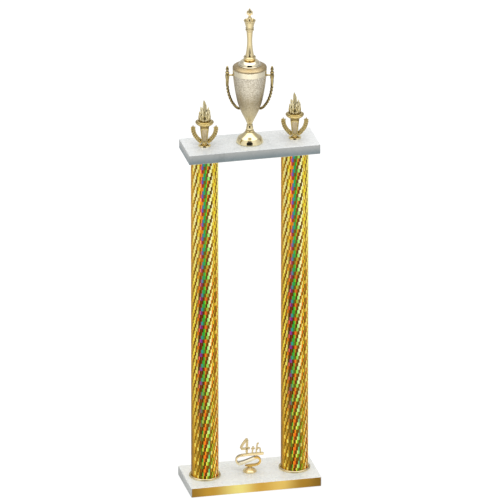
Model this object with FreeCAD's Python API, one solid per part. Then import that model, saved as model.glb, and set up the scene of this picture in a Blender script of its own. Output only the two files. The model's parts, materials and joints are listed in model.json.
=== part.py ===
import FreeCAD, Part
import math
import os
from FreeCAD import Vector

# Two-column award trophy: a marble base and a marble deck joined by two film-wrapped tubes, each
# clamped by a tie rod. A cup with a chess king stands on the deck between two torches, and a
# placing trim stands on the base. Millimetres, +Z up, front towards -Y, origin under the base.

INCH = 25.4

# Marble slabs
SLAB_WIDTH = 10.0 * INCH
SLAB_THICKNESS = 0.75 * INCH
BASE_DEPTH = 4.5 * INCH
DECK_DEPTH = 3.5 * INCH
SLAB_ARRIS = 0.8
PAD_THICKNESS = 1.6
PAD_RADIUS = 10.0
PAD_INSET = 20.0
PLATE_MARGIN = 0.6
PLATE_THICKNESS = 0.6

# Columns
COLUMN_SPACING = 175.0
COLUMN_LENGTH = 26.0 * INCH
TUBE_RADIUS = 26.0
TUBE_WALL = 1.8
FILM_THICKNESS = 0.3
CAP_RADIUS = 30.5
CAP_FLOOR = 2.0
CAP_RIM_HEIGHT = 4.2
SPIGOT_HEIGHT = 22.0
SPIGOT_WALL = 2.0
FIT_GAP = 0.1
RIB_THICKNESS = 1.6
BOSS_RADIUS = 6.0

# Quarter-inch rods, nuts and washers
ROD_RADIUS = 0.25 * INCH / 2
ROD_HOLE = ROD_RADIUS + 0.4
RUNNING_GAP = 0.06
WASHER_GAP = 0.2
NUT_FLATS = 11.1
NUT_HEIGHT = 5.5
THIN_NUT_HEIGHT = 3.2
BOLT_HEAD_HEIGHT = 4.2
WASHER_RADIUS = 9.0
WASHER_HEIGHT = 1.5
COUNTERBORE_RADIUS = 10.5
COUNTERBORE_DEPTH = 8.4

# Torches, heights above the deck
TORCH_FOOT_RADIUS = 12.2
TORCH_FOOT_HEIGHT = 5.6
TORCH_CAVITY_RADIUS = 6.9
TORCH_CAVITY_HEIGHT = 3.6
WREATH_HUB_HEIGHT = 3.4
SHAFT_TOP = 40.0
SHAFT_COLLAR = 3.0
SHAFT_HALF_LOW = 5.4
SHAFT_HALF_HIGH = 8.4
SHAFT_CHAMFER = 0.62
PANEL_DEPTH = 0.5
WREATH_TIP = 41.5
WREATH_HALF_WIDTH = 3.4
WREATH_HALF_DEPTH = 1.7
DISH_TOP = 51.6
FLAME_TOP = 94.0
ROD_IN_TORCH = 22.0
FLAME_PEG_RADIUS = 2.4
FLAME_PEG_LENGTH = 14.0

# Cup, heights above the deck
FOOT_TOP = 22.0
STEM_TOP = 39.4
BOWL_FLOOR = 44.5
BOWL_SHOULDER = 133.0
BOWL_RIM = 151.0
BAND_BOTTOM = 140.0
BAND_TOP = 150.0
BAND_THICKNESS = 0.9
BOWL_RADIUS = 31.6
SHELL_WALL = 1.3
LID_TOP = 157.5
KING_SEAT = 163.5
KING_TOP = 251.0
CROSS_TOP = 272.0
STUD_RADIUS = 2.4
HANDLE_REACH = 42.3
HANDLE_RADIUS = 3.0
HANDLE_ROD_HEIGHT = 136.0
HANDLE_ROD_RADIUS = 1.5
HANDLE_PEG_RADIUS = 1.9
PEG_GAP = 0.05

# Placing trim, heights above the base
TRIM_FOOT_HEIGHT = 7.0
TRIM_NECK_HEIGHT = 10.0
RIBBON_DEPTH = 9.0
RIBBON_THICKNESS = 3.0
BAND_HEIGHT = 7.0
BAR_THICKNESS = 5.0
NUMERAL_DEPTH = 3.6
NUMERAL_STROKE = 4.8
LETTER_STROKE = 3.2
SCREW_RADIUS = 2.4
SCREW_RECESS_RADIUS = 7.5
SCREW_HEAD_RADIUS = 4.6
SCREW_HEAD_HEIGHT = 3.2
SCREW_WASHER_RADIUS = 6.5
SCREW_WASHER_HEIGHT = 1.0

BASE_TOP = PAD_THICKNESS + SLAB_THICKNESS
DECK_BOTTOM = BASE_TOP + COLUMN_LENGTH
DECK_TOP = DECK_BOTTOM + SLAB_THICKNESS
SIDES = {"left": -COLUMN_SPACING / 2, "right": COLUMN_SPACING / 2}
# The figures face a little to the left of the base's front; this turns each about its own rod.
FIGURE_TURN = -12.9

Z_AXIS = Vector(0, 0, 1)


def path(points):
    """Wire through steps: a point is reached in a straight line, a list of points by one smooth curve."""
    edges = []
    here = points[0]
    for step in points[1:]:
        if isinstance(step, list):
            curve = Part.BSplineCurve()
            curve.interpolate([here] + step)
            edges.append(curve.toShape())
            here = step[-1]
        else:
            edges.append(Part.makeLine(here, step))
            here = step
    return edges, here


def lathe(*steps):
    """Solid turned about Z from (radius, height) steps; a list of steps is one smooth curve."""
    places = []
    for step in steps:
        if isinstance(step, list):
            places.append([Vector(r, 0, z) for r, z in step])
        else:
            places.append(Vector(step[0], 0, step[1]))
    edges, end = path(places)
    edges.append(Part.makeLine(end, places[0]))
    solid = Part.Face(Part.Wire(edges)).revolve(Vector(0, 0, 0), Z_AXIS, 360)
    return solid if solid.Volume > 0 else solid.reversed()


def post(radius, bottom, top, x=0.0, y=0.0):
    """Upright cylinder between two heights."""
    return Part.makeCylinder(radius, top - bottom, Vector(x, y, bottom))


def ring(outer, inner, bottom, top, x=0.0, y=0.0):
    """Upright ring between two heights."""
    return post(outer, bottom, top, x, y).cut(post(inner, bottom - 1, top + 1, x, y))


def hex_nut(flats, height, bore, bottom, x=0.0, y=0.0):
    """Hexagonal nut standing on a height."""
    corner = flats / math.sqrt(3)
    corners = [
        Vector(x + corner * math.cos(math.radians(a)), y + corner * math.sin(math.radians(a)), bottom)
        for a in range(0, 361, 60)
    ]
    body = Part.Face(Part.makePolygon(corners)).extrude(Vector(0, 0, height))
    return body.cut(post(bore, bottom - 1, bottom + height + 1, x, y))


def stroke(points, width, depth, middle=0.0):
    """Bar of constant width with round ends along points (x, z), as deep as given along Y."""
    half = width / 2
    y = middle - depth / 2
    solid = None
    for (x0, z0), (x1, z1) in zip(points, points[1:]):
        start, end = Vector(x0, y, z0), Vector(x1, y, z1)
        run = end - start
        side = Vector(-run.z, 0, run.x).normalize() * half
        corners = [start + side, end + side, end - side, start - side, start + side]
        piece = Part.Face(Part.makePolygon(corners)).extrude(Vector(0, depth, 0))
        for place in (start, end):
            piece = piece.fuse(Part.makeCylinder(half, depth, place, Vector(0, 1, 0)))
        solid = piece if solid is None else solid.fuse(piece)
    return solid.removeSplitter()


def arc_points(centre, radius, start, end, count):
    """Points (x, z) along an arc, from one angle to another in degrees, count steps."""
    cx, cz = centre
    turn = [math.radians(start + (end - start) * i / count) for i in range(count + 1)]
    return [(cx + radius * math.cos(a), cz + radius * math.sin(a)) for a in turn]


# ---------------------------------------------------------------- marble, pads and plate


def slab(depth, bottom):
    """Marble slab with every edge lightly chamfered."""
    block = Part.makeBox(
        SLAB_WIDTH, depth, SLAB_THICKNESS, Vector(-SLAB_WIDTH / 2, -depth / 2, bottom)
    )
    return block.makeChamfer(SLAB_ARRIS, block.Edges)


def base_slab():
    """Base with rod holes, counterbored from below, and the placing trim's screw hole."""
    body = slab(BASE_DEPTH, PAD_THICKNESS)
    recess = PAD_THICKNESS + COUNTERBORE_DEPTH
    for x in SIDES.values():
        body = body.cut(post(ROD_HOLE, 0, BASE_TOP + 1, x))
        body = body.cut(post(COUNTERBORE_RADIUS, 0, recess, x))
    body = body.cut(post(SCREW_RADIUS + 0.3, 0, BASE_TOP + 1))
    return body.cut(post(SCREW_RECESS_RADIUS, 0, recess))


def deck_slab():
    """Deck with two rod holes and the cup bolt's hole."""
    body = slab(DECK_DEPTH, DECK_BOTTOM)
    for x in (0.0, *SIDES.values()):
        body = body.cut(post(ROD_HOLE, DECK_BOTTOM - 1, DECK_TOP + 1, x))
    return body


def base_pads():
    """Four round pads that the base stands on."""
    x = SLAB_WIDTH / 2 - PAD_INSET
    y = BASE_DEPTH / 2 - PAD_INSET
    return Part.makeCompound(
        [post(PAD_RADIUS, 0, PAD_THICKNESS, sx * x, sy * y) for sx in (-1, 1) for sy in (-1, 1)]
    )


def engraving_plate():
    """Blank metal plate over the front face of the base, with no lettering."""
    margin = SLAB_ARRIS + PLATE_MARGIN
    return Part.makeBox(
        SLAB_WIDTH - 2 * margin,
        PLATE_THICKNESS,
        SLAB_THICKNESS - 2 * SLAB_ARRIS,
        Vector(-SLAB_WIDTH / 2 + margin, -BASE_DEPTH / 2 - PLATE_THICKNESS, PAD_THICKNESS + SLAB_ARRIS),
    )


# ---------------------------------------------------------------- columns


def column_tube(x):
    """Paperboard tube between its foot cap's floor and the deck."""
    return ring(TUBE_RADIUS, TUBE_RADIUS - TUBE_WALL, BASE_TOP + CAP_FLOOR, DECK_BOTTOM, x)


def column_film(x):
    """Prismatic film wrapped round the tube."""
    outer = TUBE_RADIUS + FILM_THICKNESS
    return ring(outer, TUBE_RADIUS, BASE_TOP + CAP_FLOOR, DECK_BOTTOM, x)


def ribbed_plug(x, floor, tip):
    """Boss round the rod and three ribs out to a spigot that fits the tube, between two heights."""
    outer = TUBE_RADIUS - TUBE_WALL - FIT_GAP
    low, high = min(floor, tip), max(floor, tip)
    solid = ring(outer, outer - SPIGOT_WALL, low, high, x)
    solid = solid.fuse(post(BOSS_RADIUS, low, high, x))
    for turn in (90, 210, 330):
        rib = Part.makeBox(
            outer - SPIGOT_WALL / 2,
            RIB_THICKNESS,
            (high - low) * 0.7,
            Vector(x, -RIB_THICKNESS / 2, low if floor < tip else high - (high - low) * 0.7),
        )
        rib.rotate(Vector(x, 0, 0), Z_AXIS, turn)
        solid = solid.fuse(rib)
    return solid


def column_foot_cap(x):
    """Bright moulded cap under the tube: floor, raised rim and the spigot inside the tube."""
    inner = TUBE_RADIUS + FILM_THICKNESS + FIT_GAP
    rim = lathe(
        (inner, 0),
        (CAP_RADIUS - 0.5, 0),
        (CAP_RADIUS, 0.6),
        (CAP_RADIUS, 2.2),
        [(CAP_RADIUS - 0.8, 3.6), (CAP_RADIUS - 2.2, CAP_RIM_HEIGHT)],
        (inner, CAP_RIM_HEIGHT - 0.6),
    ).translated(Vector(x, 0, BASE_TOP))
    floor = post(inner + 1, BASE_TOP, BASE_TOP + CAP_FLOOR, x)
    plug = ribbed_plug(x, BASE_TOP + CAP_FLOOR, BASE_TOP + SPIGOT_HEIGHT)
    solid = rim.fuse(floor).fuse(plug)
    return solid.cut(post(ROD_HOLE, BASE_TOP - 1, DECK_BOTTOM, x)).removeSplitter()


def column_top_plug(x):
    """Plug in the tube's upper end, flush under the deck, that centres the rod."""
    outer = TUBE_RADIUS - TUBE_WALL - FIT_GAP
    solid = post(outer, DECK_BOTTOM - CAP_FLOOR, DECK_BOTTOM, x)
    solid = solid.fuse(ribbed_plug(x, DECK_BOTTOM - CAP_FLOOR, DECK_BOTTOM - SPIGOT_HEIGHT))
    return solid.cut(post(ROD_HOLE, BASE_TOP, DECK_BOTTOM + 1, x)).removeSplitter()


# ---------------------------------------------------------------- rods and fasteners

RECESS_TOP = PAD_THICKNESS + COUNTERBORE_DEPTH


def tie_rod(x):
    """Rod from the counterbore under the base up into the torch."""
    nut_bottom = RECESS_TOP - WASHER_HEIGHT - NUT_HEIGHT
    rod = post(ROD_RADIUS, nut_bottom - 0.6, DECK_TOP + ROD_IN_TORCH, x)
    return rod.makeChamfer(0.5, [e for e in rod.Edges if isinstance(e.Curve, Part.Circle)])


def lower_rod_washers():
    """Washers against the ceilings of the base's counterbores."""
    bottom = RECESS_TOP - WASHER_HEIGHT
    bore = ROD_RADIUS + WASHER_GAP
    return Part.makeCompound([ring(WASHER_RADIUS, bore, bottom, RECESS_TOP, x) for x in SIDES.values()])


def lower_rod_nuts():
    """Nuts that draw the rods down, inside the counterbores."""
    bottom = RECESS_TOP - WASHER_HEIGHT - NUT_HEIGHT
    bore = ROD_RADIUS + RUNNING_GAP
    return Part.makeCompound([hex_nut(NUT_FLATS, NUT_HEIGHT, bore, bottom, x) for x in SIDES.values()])


def upper_rod_nuts():
    """Thin nuts that clamp the deck, hidden inside the torch feet."""
    bore = ROD_RADIUS + RUNNING_GAP
    nuts = [hex_nut(NUT_FLATS, THIN_NUT_HEIGHT, bore, DECK_TOP, x) for x in SIDES.values()]
    return Part.makeCompound(nuts)


def cup_bolt_washer():
    """Washer under the deck for the cup's bolt."""
    return ring(WASHER_RADIUS, ROD_RADIUS + WASHER_GAP, DECK_BOTTOM - WASHER_HEIGHT, DECK_BOTTOM)


def cup_bolt():
    """Hexagon-headed bolt up through the deck, foot and stem into the bowl."""
    seat = DECK_BOTTOM - WASHER_HEIGHT
    head = hex_nut(NUT_FLATS, BOLT_HEAD_HEIGHT, ROD_RADIUS, seat - BOLT_HEAD_HEIGHT)
    shank = post(ROD_RADIUS, seat - BOLT_HEAD_HEIGHT, DECK_TOP + BOWL_FLOOR + 9)
    return head.fuse(shank).removeSplitter()


def trim_washer():
    """Washer in the base's middle counterbore."""
    bottom = RECESS_TOP - SCREW_WASHER_HEIGHT
    return ring(SCREW_WASHER_RADIUS, SCREW_RADIUS + WASHER_GAP, bottom, RECESS_TOP)


def trim_screw():
    """Screw up through the base into the placing trim's foot."""
    seat = RECESS_TOP - SCREW_WASHER_HEIGHT
    head = post(SCREW_HEAD_RADIUS, seat - SCREW_HEAD_HEIGHT, seat)
    lowest = [e for e in head.Edges if abs(e.CenterOfMass.z - head.BoundBox.ZMin) < 0.01]
    head = head.makeChamfer(0.5, lowest)
    shank = post(SCREW_RADIUS, seat, BASE_TOP + TRIM_FOOT_HEIGHT - 0.5)
    return head.fuse(shank).removeSplitter()


# ---------------------------------------------------------------- torches, above the deck


def torch_foot():
    """Polished round foot, hollow underneath for the thin nut."""
    foot = lathe(
        (0, 0),
        (TORCH_FOOT_RADIUS - 0.4, 0),
        (TORCH_FOOT_RADIUS, 0.5),
        (TORCH_FOOT_RADIUS, 1.7),
        [(11.2, 3.1), (8.2, 4.5), (5.6, 5.2), (4.3, TORCH_FOOT_HEIGHT)],
        (0, TORCH_FOOT_HEIGHT),
    )
    foot = foot.cut(post(TORCH_CAVITY_RADIUS, -1, TORCH_CAVITY_HEIGHT))
    return foot.cut(post(ROD_RADIUS + RUNNING_GAP, 0, TORCH_FOOT_HEIGHT + 1))


def shaft_blank():
    """Tapered bar of square section with broad chamfered corners, and its collar under the dish."""
    bottom = TORCH_FOOT_HEIGHT + WREATH_HUB_HEIGHT
    top = SHAFT_TOP - SHAFT_COLLAR
    sections = []
    for half, z in ((SHAFT_HALF_LOW, bottom), (SHAFT_HALF_HIGH, top)):
        cut = half * SHAFT_CHAMFER
        outline = [(half, cut), (cut, half), (-cut, half), (-half, cut)]
        outline += [(-x, -y) for x, y in outline]
        sections.append(Part.makePolygon([Vector(x, y, z) for x, y in outline + outline[:1]]))
    bar = Part.makeLoft(sections, True, True)
    collar = lathe((0, top), (8.4, top), (8.9, top + 1.5), (8.2, SHAFT_TOP), (0, SHAFT_TOP))
    return bar.fuse(collar)


def torch_shaft():
    """Shaft with a sunk panel front and back, and blind holes for the rod and the flame's peg."""
    bottom = TORCH_FOOT_HEIGHT + WREATH_HUB_HEIGHT
    top = SHAFT_TOP - SHAFT_COLLAR
    low, high = SHAFT_HALF_LOW / 2, SHAFT_HALF_HIGH / 2
    corners = [(-low, bottom + 4), (low, bottom + 4), (high, top - 2), (-high, top - 2)]
    face = Part.Face(Part.makePolygon([Vector(x, 0, z) for x, z in corners + corners[:1]]))
    recess = face.extrude(Vector(0, 5, 0)).translated(Vector(0, SHAFT_HALF_LOW - PANEL_DEPTH, 0))
    lean = math.degrees(math.atan((SHAFT_HALF_HIGH - SHAFT_HALF_LOW) / (top - bottom)))
    recess.rotate(Vector(0, SHAFT_HALF_LOW - PANEL_DEPTH, bottom), Vector(1, 0, 0), -lean)
    shaft = shaft_blank()
    for turn in (0, 180):
        panel = recess.copy()
        panel.rotate(Vector(0, 0, 0), Z_AXIS, turn)
        shaft = shaft.cut(panel)
    shaft = shaft.cut(post(ROD_RADIUS + RUNNING_GAP, bottom - 1, ROD_IN_TORCH + 2))
    peg_floor = DISH_TOP - FLAME_PEG_LENGTH - 0.5
    return shaft.cut(post(FLAME_PEG_RADIUS + RUNNING_GAP, peg_floor, SHAFT_TOP + 1))


def torch_dish():
    """Shallow dish on the shaft."""
    dish = lathe(
        (FLAME_PEG_RADIUS + RUNNING_GAP, SHAFT_TOP),
        (8.6, SHAFT_TOP),
        [(11.5, 42.0), (15.2, 45.0), (17.4, 47.4)],
        [(17.7, 48.4), (17.0, 49.3)],
        [(14.8, 50.2), (12.6, DISH_TOP)],
        (FLAME_PEG_RADIUS + RUNNING_GAP, DISH_TOP),
    )
    return dish


def torch_flame():
    """Cluster of flame tongues with a peg below."""
    seat = DISH_TOP
    body = lathe(
        (0, seat), (9.2, seat), [(11.0, 56.0), (11.2, 62.0), (9.0, 70.0), (4.0, 80.0)], (0, 82.0)
    )
    tongues = [
        ((-9.0, 58.0), (-10.6, 71.0)),
        ((-5.0, 64.0), (-7.6, 84.0)),
        ((0.4, 70.0), (-1.4, FLAME_TOP)),
        ((4.6, 62.0), (8.2, 81.0)),
        ((8.6, 58.0), (10.4, 70.0)),
    ]
    for (x0, z0), (x1, z1) in tongues:
        run = Vector(x1 - x0, 0, z1 - z0)
        body = body.fuse(Part.makeCone(3.4, 0.5, run.Length, Vector(x0, 0, z0), run))
    return body.fuse(post(FLAME_PEG_RADIUS, seat - FLAME_PEG_LENGTH, seat + 1)).removeSplitter()


def torch_wreath():
    """Pair of laurel branches rising from a hub that the rod passes through."""
    hub_bottom = TORCH_FOOT_HEIGHT
    solid = post(4.7, hub_bottom, hub_bottom + WREATH_HUB_HEIGHT)
    for side in (-1, 1):
        start = Vector(side * 3.0, 0, hub_bottom + WREATH_HUB_HEIGHT / 2)
        route = [(7.4, 9.6), (11.2, 13.4), (15.2, 18.2), (18.6, 23.8), (20.8, 30.4), (21.6, WREATH_TIP)]
        spine = Part.BSplineCurve()
        spine.interpolate([start] + [Vector(side * x, 0, z) for x, z in route])
        section = Part.Wire([Part.Ellipse(start, WREATH_HALF_WIDTH, WREATH_HALF_DEPTH).toShape()])
        section.rotate(start, Vector(1, 0, 0), 90)
        section.rotate(start, Z_AXIS, 90)
        section.rotate(start, Vector(1, 0, 0), 90)
        solid = solid.fuse(Part.Wire([spine.toShape()]).makePipeShell([section], True, False))
    solid = solid.cut(shaft_blank()).cut(post(TORCH_FOOT_RADIUS, 0, hub_bottom))
    return solid.cut(post(ROD_RADIUS + RUNNING_GAP, 0, hub_bottom + 30)).removeSplitter()


# ---------------------------------------------------------------- cup, above the deck


def cup_foot():
    """Bell-shaped foot, hollow underneath."""
    outer = [(24.0, 6.0), (21.6, 10.2)]
    upper = [(18.6, 12.2), (14.8, 15.2), (11.2, 18.4), (8.8, 20.6)]
    shell = lathe(
        (ROD_RADIUS + RUNNING_GAP, 0.0),
        (24.9, 0.0),
        (25.6, 0.7),
        (25.6, 1.8),
        outer,
        (20.9, 10.6),
        upper,
        (8.8, FOOT_TOP),
        (ROD_RADIUS + RUNNING_GAP, FOOT_TOP),
    )
    wall = SHELL_WALL + 0.5
    hollow = lathe(
        (0, -1),
        (25.6 - wall, -1),
        (25.6 - wall, 1.8),
        [(r - wall, z - 0.6) for r, z in outer],
        [(r - wall, z - 1.2) for r, z in upper[:3]],
        (0, 17.2),
    )
    return shell.cut(hollow)


def cup_stem():
    """Turned stem: ring, knop and neck."""
    bore = ROD_RADIUS + RUNNING_GAP
    return lathe(
        (bore, FOOT_TOP),
        (7.6, FOOT_TOP),
        [(8.1, 23.2), (7.6, 24.6)],
        (6.4, 24.9),
        [(6.9, 27.4), (6.5, 31.0), (5.5, 34.2)],
        (5.2, 34.6),
        [(5.0, 36.6), (5.8, STEM_TOP)],
        (bore, STEM_TOP),
    )


BOWL_CURVE = [
    (7.8, 44.2),
    (11.6, 52.0),
    (15.4, 59.9),
    (18.6, 67.8),
    (21.3, 75.6),
    (23.7, 83.5),
    (27.6, 103.0),
    (30.0, 119.0),
]


def cup_bowl():
    """Tall bowl, an open shell with a thick floor, with holes for the handle pegs."""
    outer = BOWL_CURVE + [(BOWL_RADIUS, BOWL_SHOULDER)]
    inner = [(r - SHELL_WALL, z) for r, z in outer[1:]]
    body = lathe(
        (0, STEM_TOP),
        (5.8, STEM_TOP),
        outer,
        (BOWL_RADIUS, BOWL_RIM),
        (0, BOWL_RIM),
    )
    hollow = lathe(
        (0, BOWL_FLOOR),
        (6.7, BOWL_FLOOR),
        inner,
        (BOWL_RADIUS - SHELL_WALL, BOWL_RIM + 1),
        (0, BOWL_RIM + 1),
    )
    body = body.cut(hollow).cut(post(ROD_RADIUS + RUNNING_GAP, 0, BOWL_FLOOR + 1))
    for side in (-1, 1):
        for peg in handle_pegs(side, PEG_GAP):
            body = body.cut(peg)
    return body


def cup_rim_band():
    """Polished band round the top of the bowl."""
    return ring(BOWL_RADIUS + BAND_THICKNESS, BOWL_RADIUS, BAND_BOTTOM, BAND_TOP)


def cup_lid():
    """Domed shoulder closing the bowl, with a skirt inside its mouth and a hole for the stud."""
    skirt = BOWL_RADIUS - SHELL_WALL - FIT_GAP
    return lathe(
        (STUD_RADIUS + 0.1, LID_TOP),
        (21.5, LID_TOP),
        [(25.4, 156.8), (29.2, 155.4), (31.8, 153.6)],
        [(32.4, 152.8), (32.3, 151.7), (32.0, BOWL_RIM)],
        (skirt, BOWL_RIM),
        (skirt, 145.0),
        (skirt - 1.3, 145.0),
        (skirt - 1.3, 152.4),
        [(26.6, 154.4), (21.0, 155.6)],
        (STUD_RADIUS + 0.1, 155.6),
    )


def lid_collar():
    """Stepped polished collar that the king stands in."""
    bore = STUD_RADIUS + 0.1
    return lathe(
        (bore, LID_TOP),
        (21.5, LID_TOP),
        [(22.1, 158.4), (21.4, 159.3)],
        (20.0, 159.6),
        [(19.7, 161.0), (18.4, 163.4), (15.2, 166.2), (13.0, 167.0)],
        [(11.9, 166.6), (11.0, 164.9), (10.2, KING_SEAT)],
        (bore, KING_SEAT),
    )


def handle_curve(side):
    """Handle's centreline: straight down, then two tangent arcs in towards the bowl."""
    big, small = 75.0, 12.0
    first, last = math.radians(38), math.radians(75)
    centre_x, bend_z = HANDLE_REACH - big, 118.0
    join_x, join_z = centre_x + big * math.cos(first), bend_z - big * math.sin(first)
    small_x, small_z = join_x - small * math.cos(first), join_z + small * math.sin(first)

    def big_arc(angle):
        return Vector(side * (centre_x + big * math.cos(angle)), 0, bend_z - big * math.sin(angle))

    def small_arc(angle):
        return Vector(side * (small_x + small * math.cos(angle)), 0, small_z - small * math.sin(angle))

    top = Vector(side * HANDLE_REACH, 0, HANDLE_ROD_HEIGHT)
    bend, join, end = big_arc(0), big_arc(first), small_arc(last)
    tail = end + Vector(-side * math.sin(last), 0, -math.cos(last))
    edges = [
        Part.makeLine(top, bend),
        Part.Arc(bend, big_arc(first / 2), join).toShape(),
        Part.Arc(join, small_arc((first + last) / 2), end).toShape(),
        Part.makeLine(end, tail),
    ]
    return edges, end, tail


def handle_pegs(side, gap):
    """Pegs of one handle: the level rod at the band and the slanting peg low on the bowl."""
    start = Vector(side * HANDLE_REACH, 0, HANDLE_ROD_HEIGHT)
    rod = Part.makeCylinder(HANDLE_ROD_RADIUS + gap, 13.2, start, Vector(-side, 0, 0))
    _, end, tail = handle_curve(side)
    low = Part.makeCylinder(HANDLE_PEG_RADIUS + gap, 5.0, end, tail - end)
    return rod, low


def cup_handle(side):
    """Handle: curved rod, upper knuckle with a bud on top, and two pegs into the cup."""
    edges, _, _ = handle_curve(side)
    spine = Part.Wire(edges)
    start = Vector(side * HANDLE_REACH, 0, HANDLE_ROD_HEIGHT)
    section = Part.Wire([Part.makeCircle(HANDLE_RADIUS, start)])
    grip = spine.makePipeShell([section], True, False)
    bud = lathe(
        (0, 127.0),
        (2.9, 127.0),
        [(3.5, 131.0), (3.9, 136.0), (3.3, 139.8)],
        (4.0, 141.0),
        (4.0, 142.4),
        [(2.3, 144.4), (3.2, 148.4), (2.0, 152.2), (0.5, 155.0)],
        (0, 155.0),
    ).translated(Vector(side * HANDLE_REACH, 0, 0))
    solid = grip.fuse(bud).cut(bowl_filled(0.0))
    for peg in handle_pegs(side, 0.0):
        solid = solid.fuse(peg)
    return solid.cut(bowl_filled(SHELL_WALL)).removeSplitter()


def bowl_filled(inset):
    """The bowl as a full body, made smaller all round by an inset."""
    outer = BOWL_CURVE + [(BOWL_RADIUS, BOWL_SHOULDER)]
    return lathe(
        (0, STEM_TOP + 5 * inset),
        (5.8, STEM_TOP + 5 * inset),
        [(r - inset, z) for r, z in outer[1:]],
        (BOWL_RADIUS - inset, BOWL_RIM),
        (0, BOWL_RIM),
    )


def cup_bowl_washer():
    """Washer on the bowl's floor."""
    return ring(6.4, ROD_RADIUS + WASHER_GAP, BOWL_FLOOR, BOWL_FLOOR + 1.0)


def cup_bowl_nut():
    """Nut inside the bowl that holds the cup on its bolt."""
    return hex_nut(NUT_FLATS, NUT_HEIGHT, ROD_RADIUS + RUNNING_GAP, BOWL_FLOOR + 1.0)


def king_stud():
    """Stud from under the lid up into the king."""
    return post(STUD_RADIUS, 149.0, KING_SEAT + 12.0)


def king_stud_nut():
    """Nut on the stud, under the lid."""
    return hex_nut(9.0, 3.6, STUD_RADIUS, 155.6 - 3.6)


# ---------------------------------------------------------------- chess king, above the deck


def king_figure():
    """Turned chess king up to its crown, with a blind hole for the stud."""
    body = lathe(
        (0, KING_SEAT),
        (9.4, KING_SEAT),
        [(9.8, 166.5), (10.8, 169.6)],
        (11.8, 170.6),
        (11.8, 172.6),
        (9.6, 173.8),
        [(8.1, 176.6), (6.7, 186.0), (5.4, 196.0), (5.1, 205.5), (5.8, 215.4), (6.8, 225.0)],
        (7.9, 226.2),
        (7.9, 228.2),
        (6.2, 229.0),
        (6.2, 230.4),
        (7.4, 231.2),
        (7.4, 232.4),
        (6.9, 233.2),
        [(7.6, 239.0), (9.0, 244.6), (11.6, 249.6)],
        (10.8, 250.2),
        [(7.6, 248.0), (4.8, 248.4)],
        (4.4, KING_TOP),
        (0, KING_TOP),
    )
    body = body.cut(post(STUD_RADIUS + RUNNING_GAP, 0, KING_SEAT + 13.0))
    return body.cut(post(1.6, KING_TOP - 6.0, KING_TOP + 1))


def king_cross():
    """Cross on the crown, pegged into it."""
    neck = lathe(
        (0, KING_TOP - 5.5),
        (1.55, KING_TOP - 5.5),
        (1.55, KING_TOP),
        (3.8, KING_TOP),
        [(3.2, 252.6), (2.1, 255.0), (2.2, 258.0)],
        (2.6, 259.0),
        (0, 259.0),
    )
    outline = [
        (-2.3, 258.0),
        (2.3, 258.0),
        (2.6, 259.6),
        (5.9, 258.4),
        (5.9, 266.2),
        (2.4, 265.6),
        (2.2, 267.6),
        (1.5, 270.0),
        (0.0, CROSS_TOP),
        (-1.5, 270.0),
        (-2.2, 267.6),
        (-2.4, 265.6),
        (-5.9, 266.2),
        (-5.9, 258.4),
        (-2.6, 259.6),
        (-2.3, 258.0),
    ]
    thickness = 4.4
    corners = [Vector(x, -thickness / 2, z) for x, z in outline]
    cross = Part.Face(Part.makePolygon(corners)).extrude(Vector(0, thickness, 0))
    return neck.fuse(cross).removeSplitter()


# ---------------------------------------------------------------- placing trim, above the base


def place_trim_foot():
    """Round foot and neck with a blind hole for the screw from below."""
    foot = lathe(
        (0, 0),
        (12.8, 0),
        (13.3, 0.6),
        (13.3, 1.8),
        [(12.0, 3.8), (8.6, 5.8), (5.4, TRIM_FOOT_HEIGHT)],
        [(4.4, 8.2), (4.8, TRIM_NECK_HEIGHT)],
        (0, TRIM_NECK_HEIGHT),
    )
    return foot.cut(post(SCREW_RADIUS + RUNNING_GAP, -1, TRIM_FOOT_HEIGHT))


def place_trim_ribbon():
    """Folded ribbon: underline bar, left curl, broad band in front, right curl and lower run."""
    bar = stroke([(24.2, 37.0), (2.0, 35.2), (-17.0, 33.0)], BAR_THICKNESS, RIBBON_DEPTH * 0.6)
    turn_left = [(-17.0, 33.0)] + arc_points((-18.6, 24.2), 7.4, 110, 235, 5) + [(-20.0, 16.2)]
    curl_left = stroke(turn_left, RIBBON_THICKNESS, RIBBON_DEPTH)
    band = stroke([(-20.0, 16.2), (-4.0, 21.8), (11.0, 29.2)], BAND_HEIGHT, RIBBON_DEPTH)
    turn_right = [(11.0, 29.2)] + arc_points((12.4, 22.2), 7.6, 75, -80, 6)
    lower = TRIM_NECK_HEIGHT + RIBBON_THICKNESS / 2
    run = turn_right + [(5.0, lower), (-8.5, lower)]
    curl_right = stroke(run, RIBBON_THICKNESS, RIBBON_DEPTH)
    return bar.fuse(curl_left).fuse(band).fuse(curl_right).removeSplitter()


def place_trim_numeral():
    """Numeral 4 with th beside it, in plain round strokes standing on the ribbon's bar."""
    foot = 36.2
    letter_t = [(4.8, foot + 1.0), (6.8, 52.0)]
    cross_bar = [(2.8, 46.8), (10.0, 47.6)]
    stem = [(12.4, foot + 1.4), (14.6, 57.2), (17.2, 58.4)]
    arch = [(13.6, 45.8), (17.0, 48.2), (20.0, 47.2), (20.2, foot + 2.0)]
    four = [(-5.8, foot), (-4.4, 68.4), (-17.0, 46.2), (-0.8, 47.8)]
    whole = stroke(four, NUMERAL_STROKE, NUMERAL_DEPTH)
    for points in (letter_t, cross_bar, stem, arch):
        whole = whole.fuse(stroke(points, LETTER_STROKE, NUMERAL_DEPTH))
    return whole.cut(place_trim_ribbon()).removeSplitter()


# ---------------------------------------------------------------- assembly


def placed(piece, height, x=0.0):
    """A figure's piece turned to the way the figures face and set at its place."""
    turned = piece.copy()
    turned.rotate(Vector(0, 0, 0), Z_AXIS, FIGURE_TURN)
    return turned.translated(Vector(x, 0, height))


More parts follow.
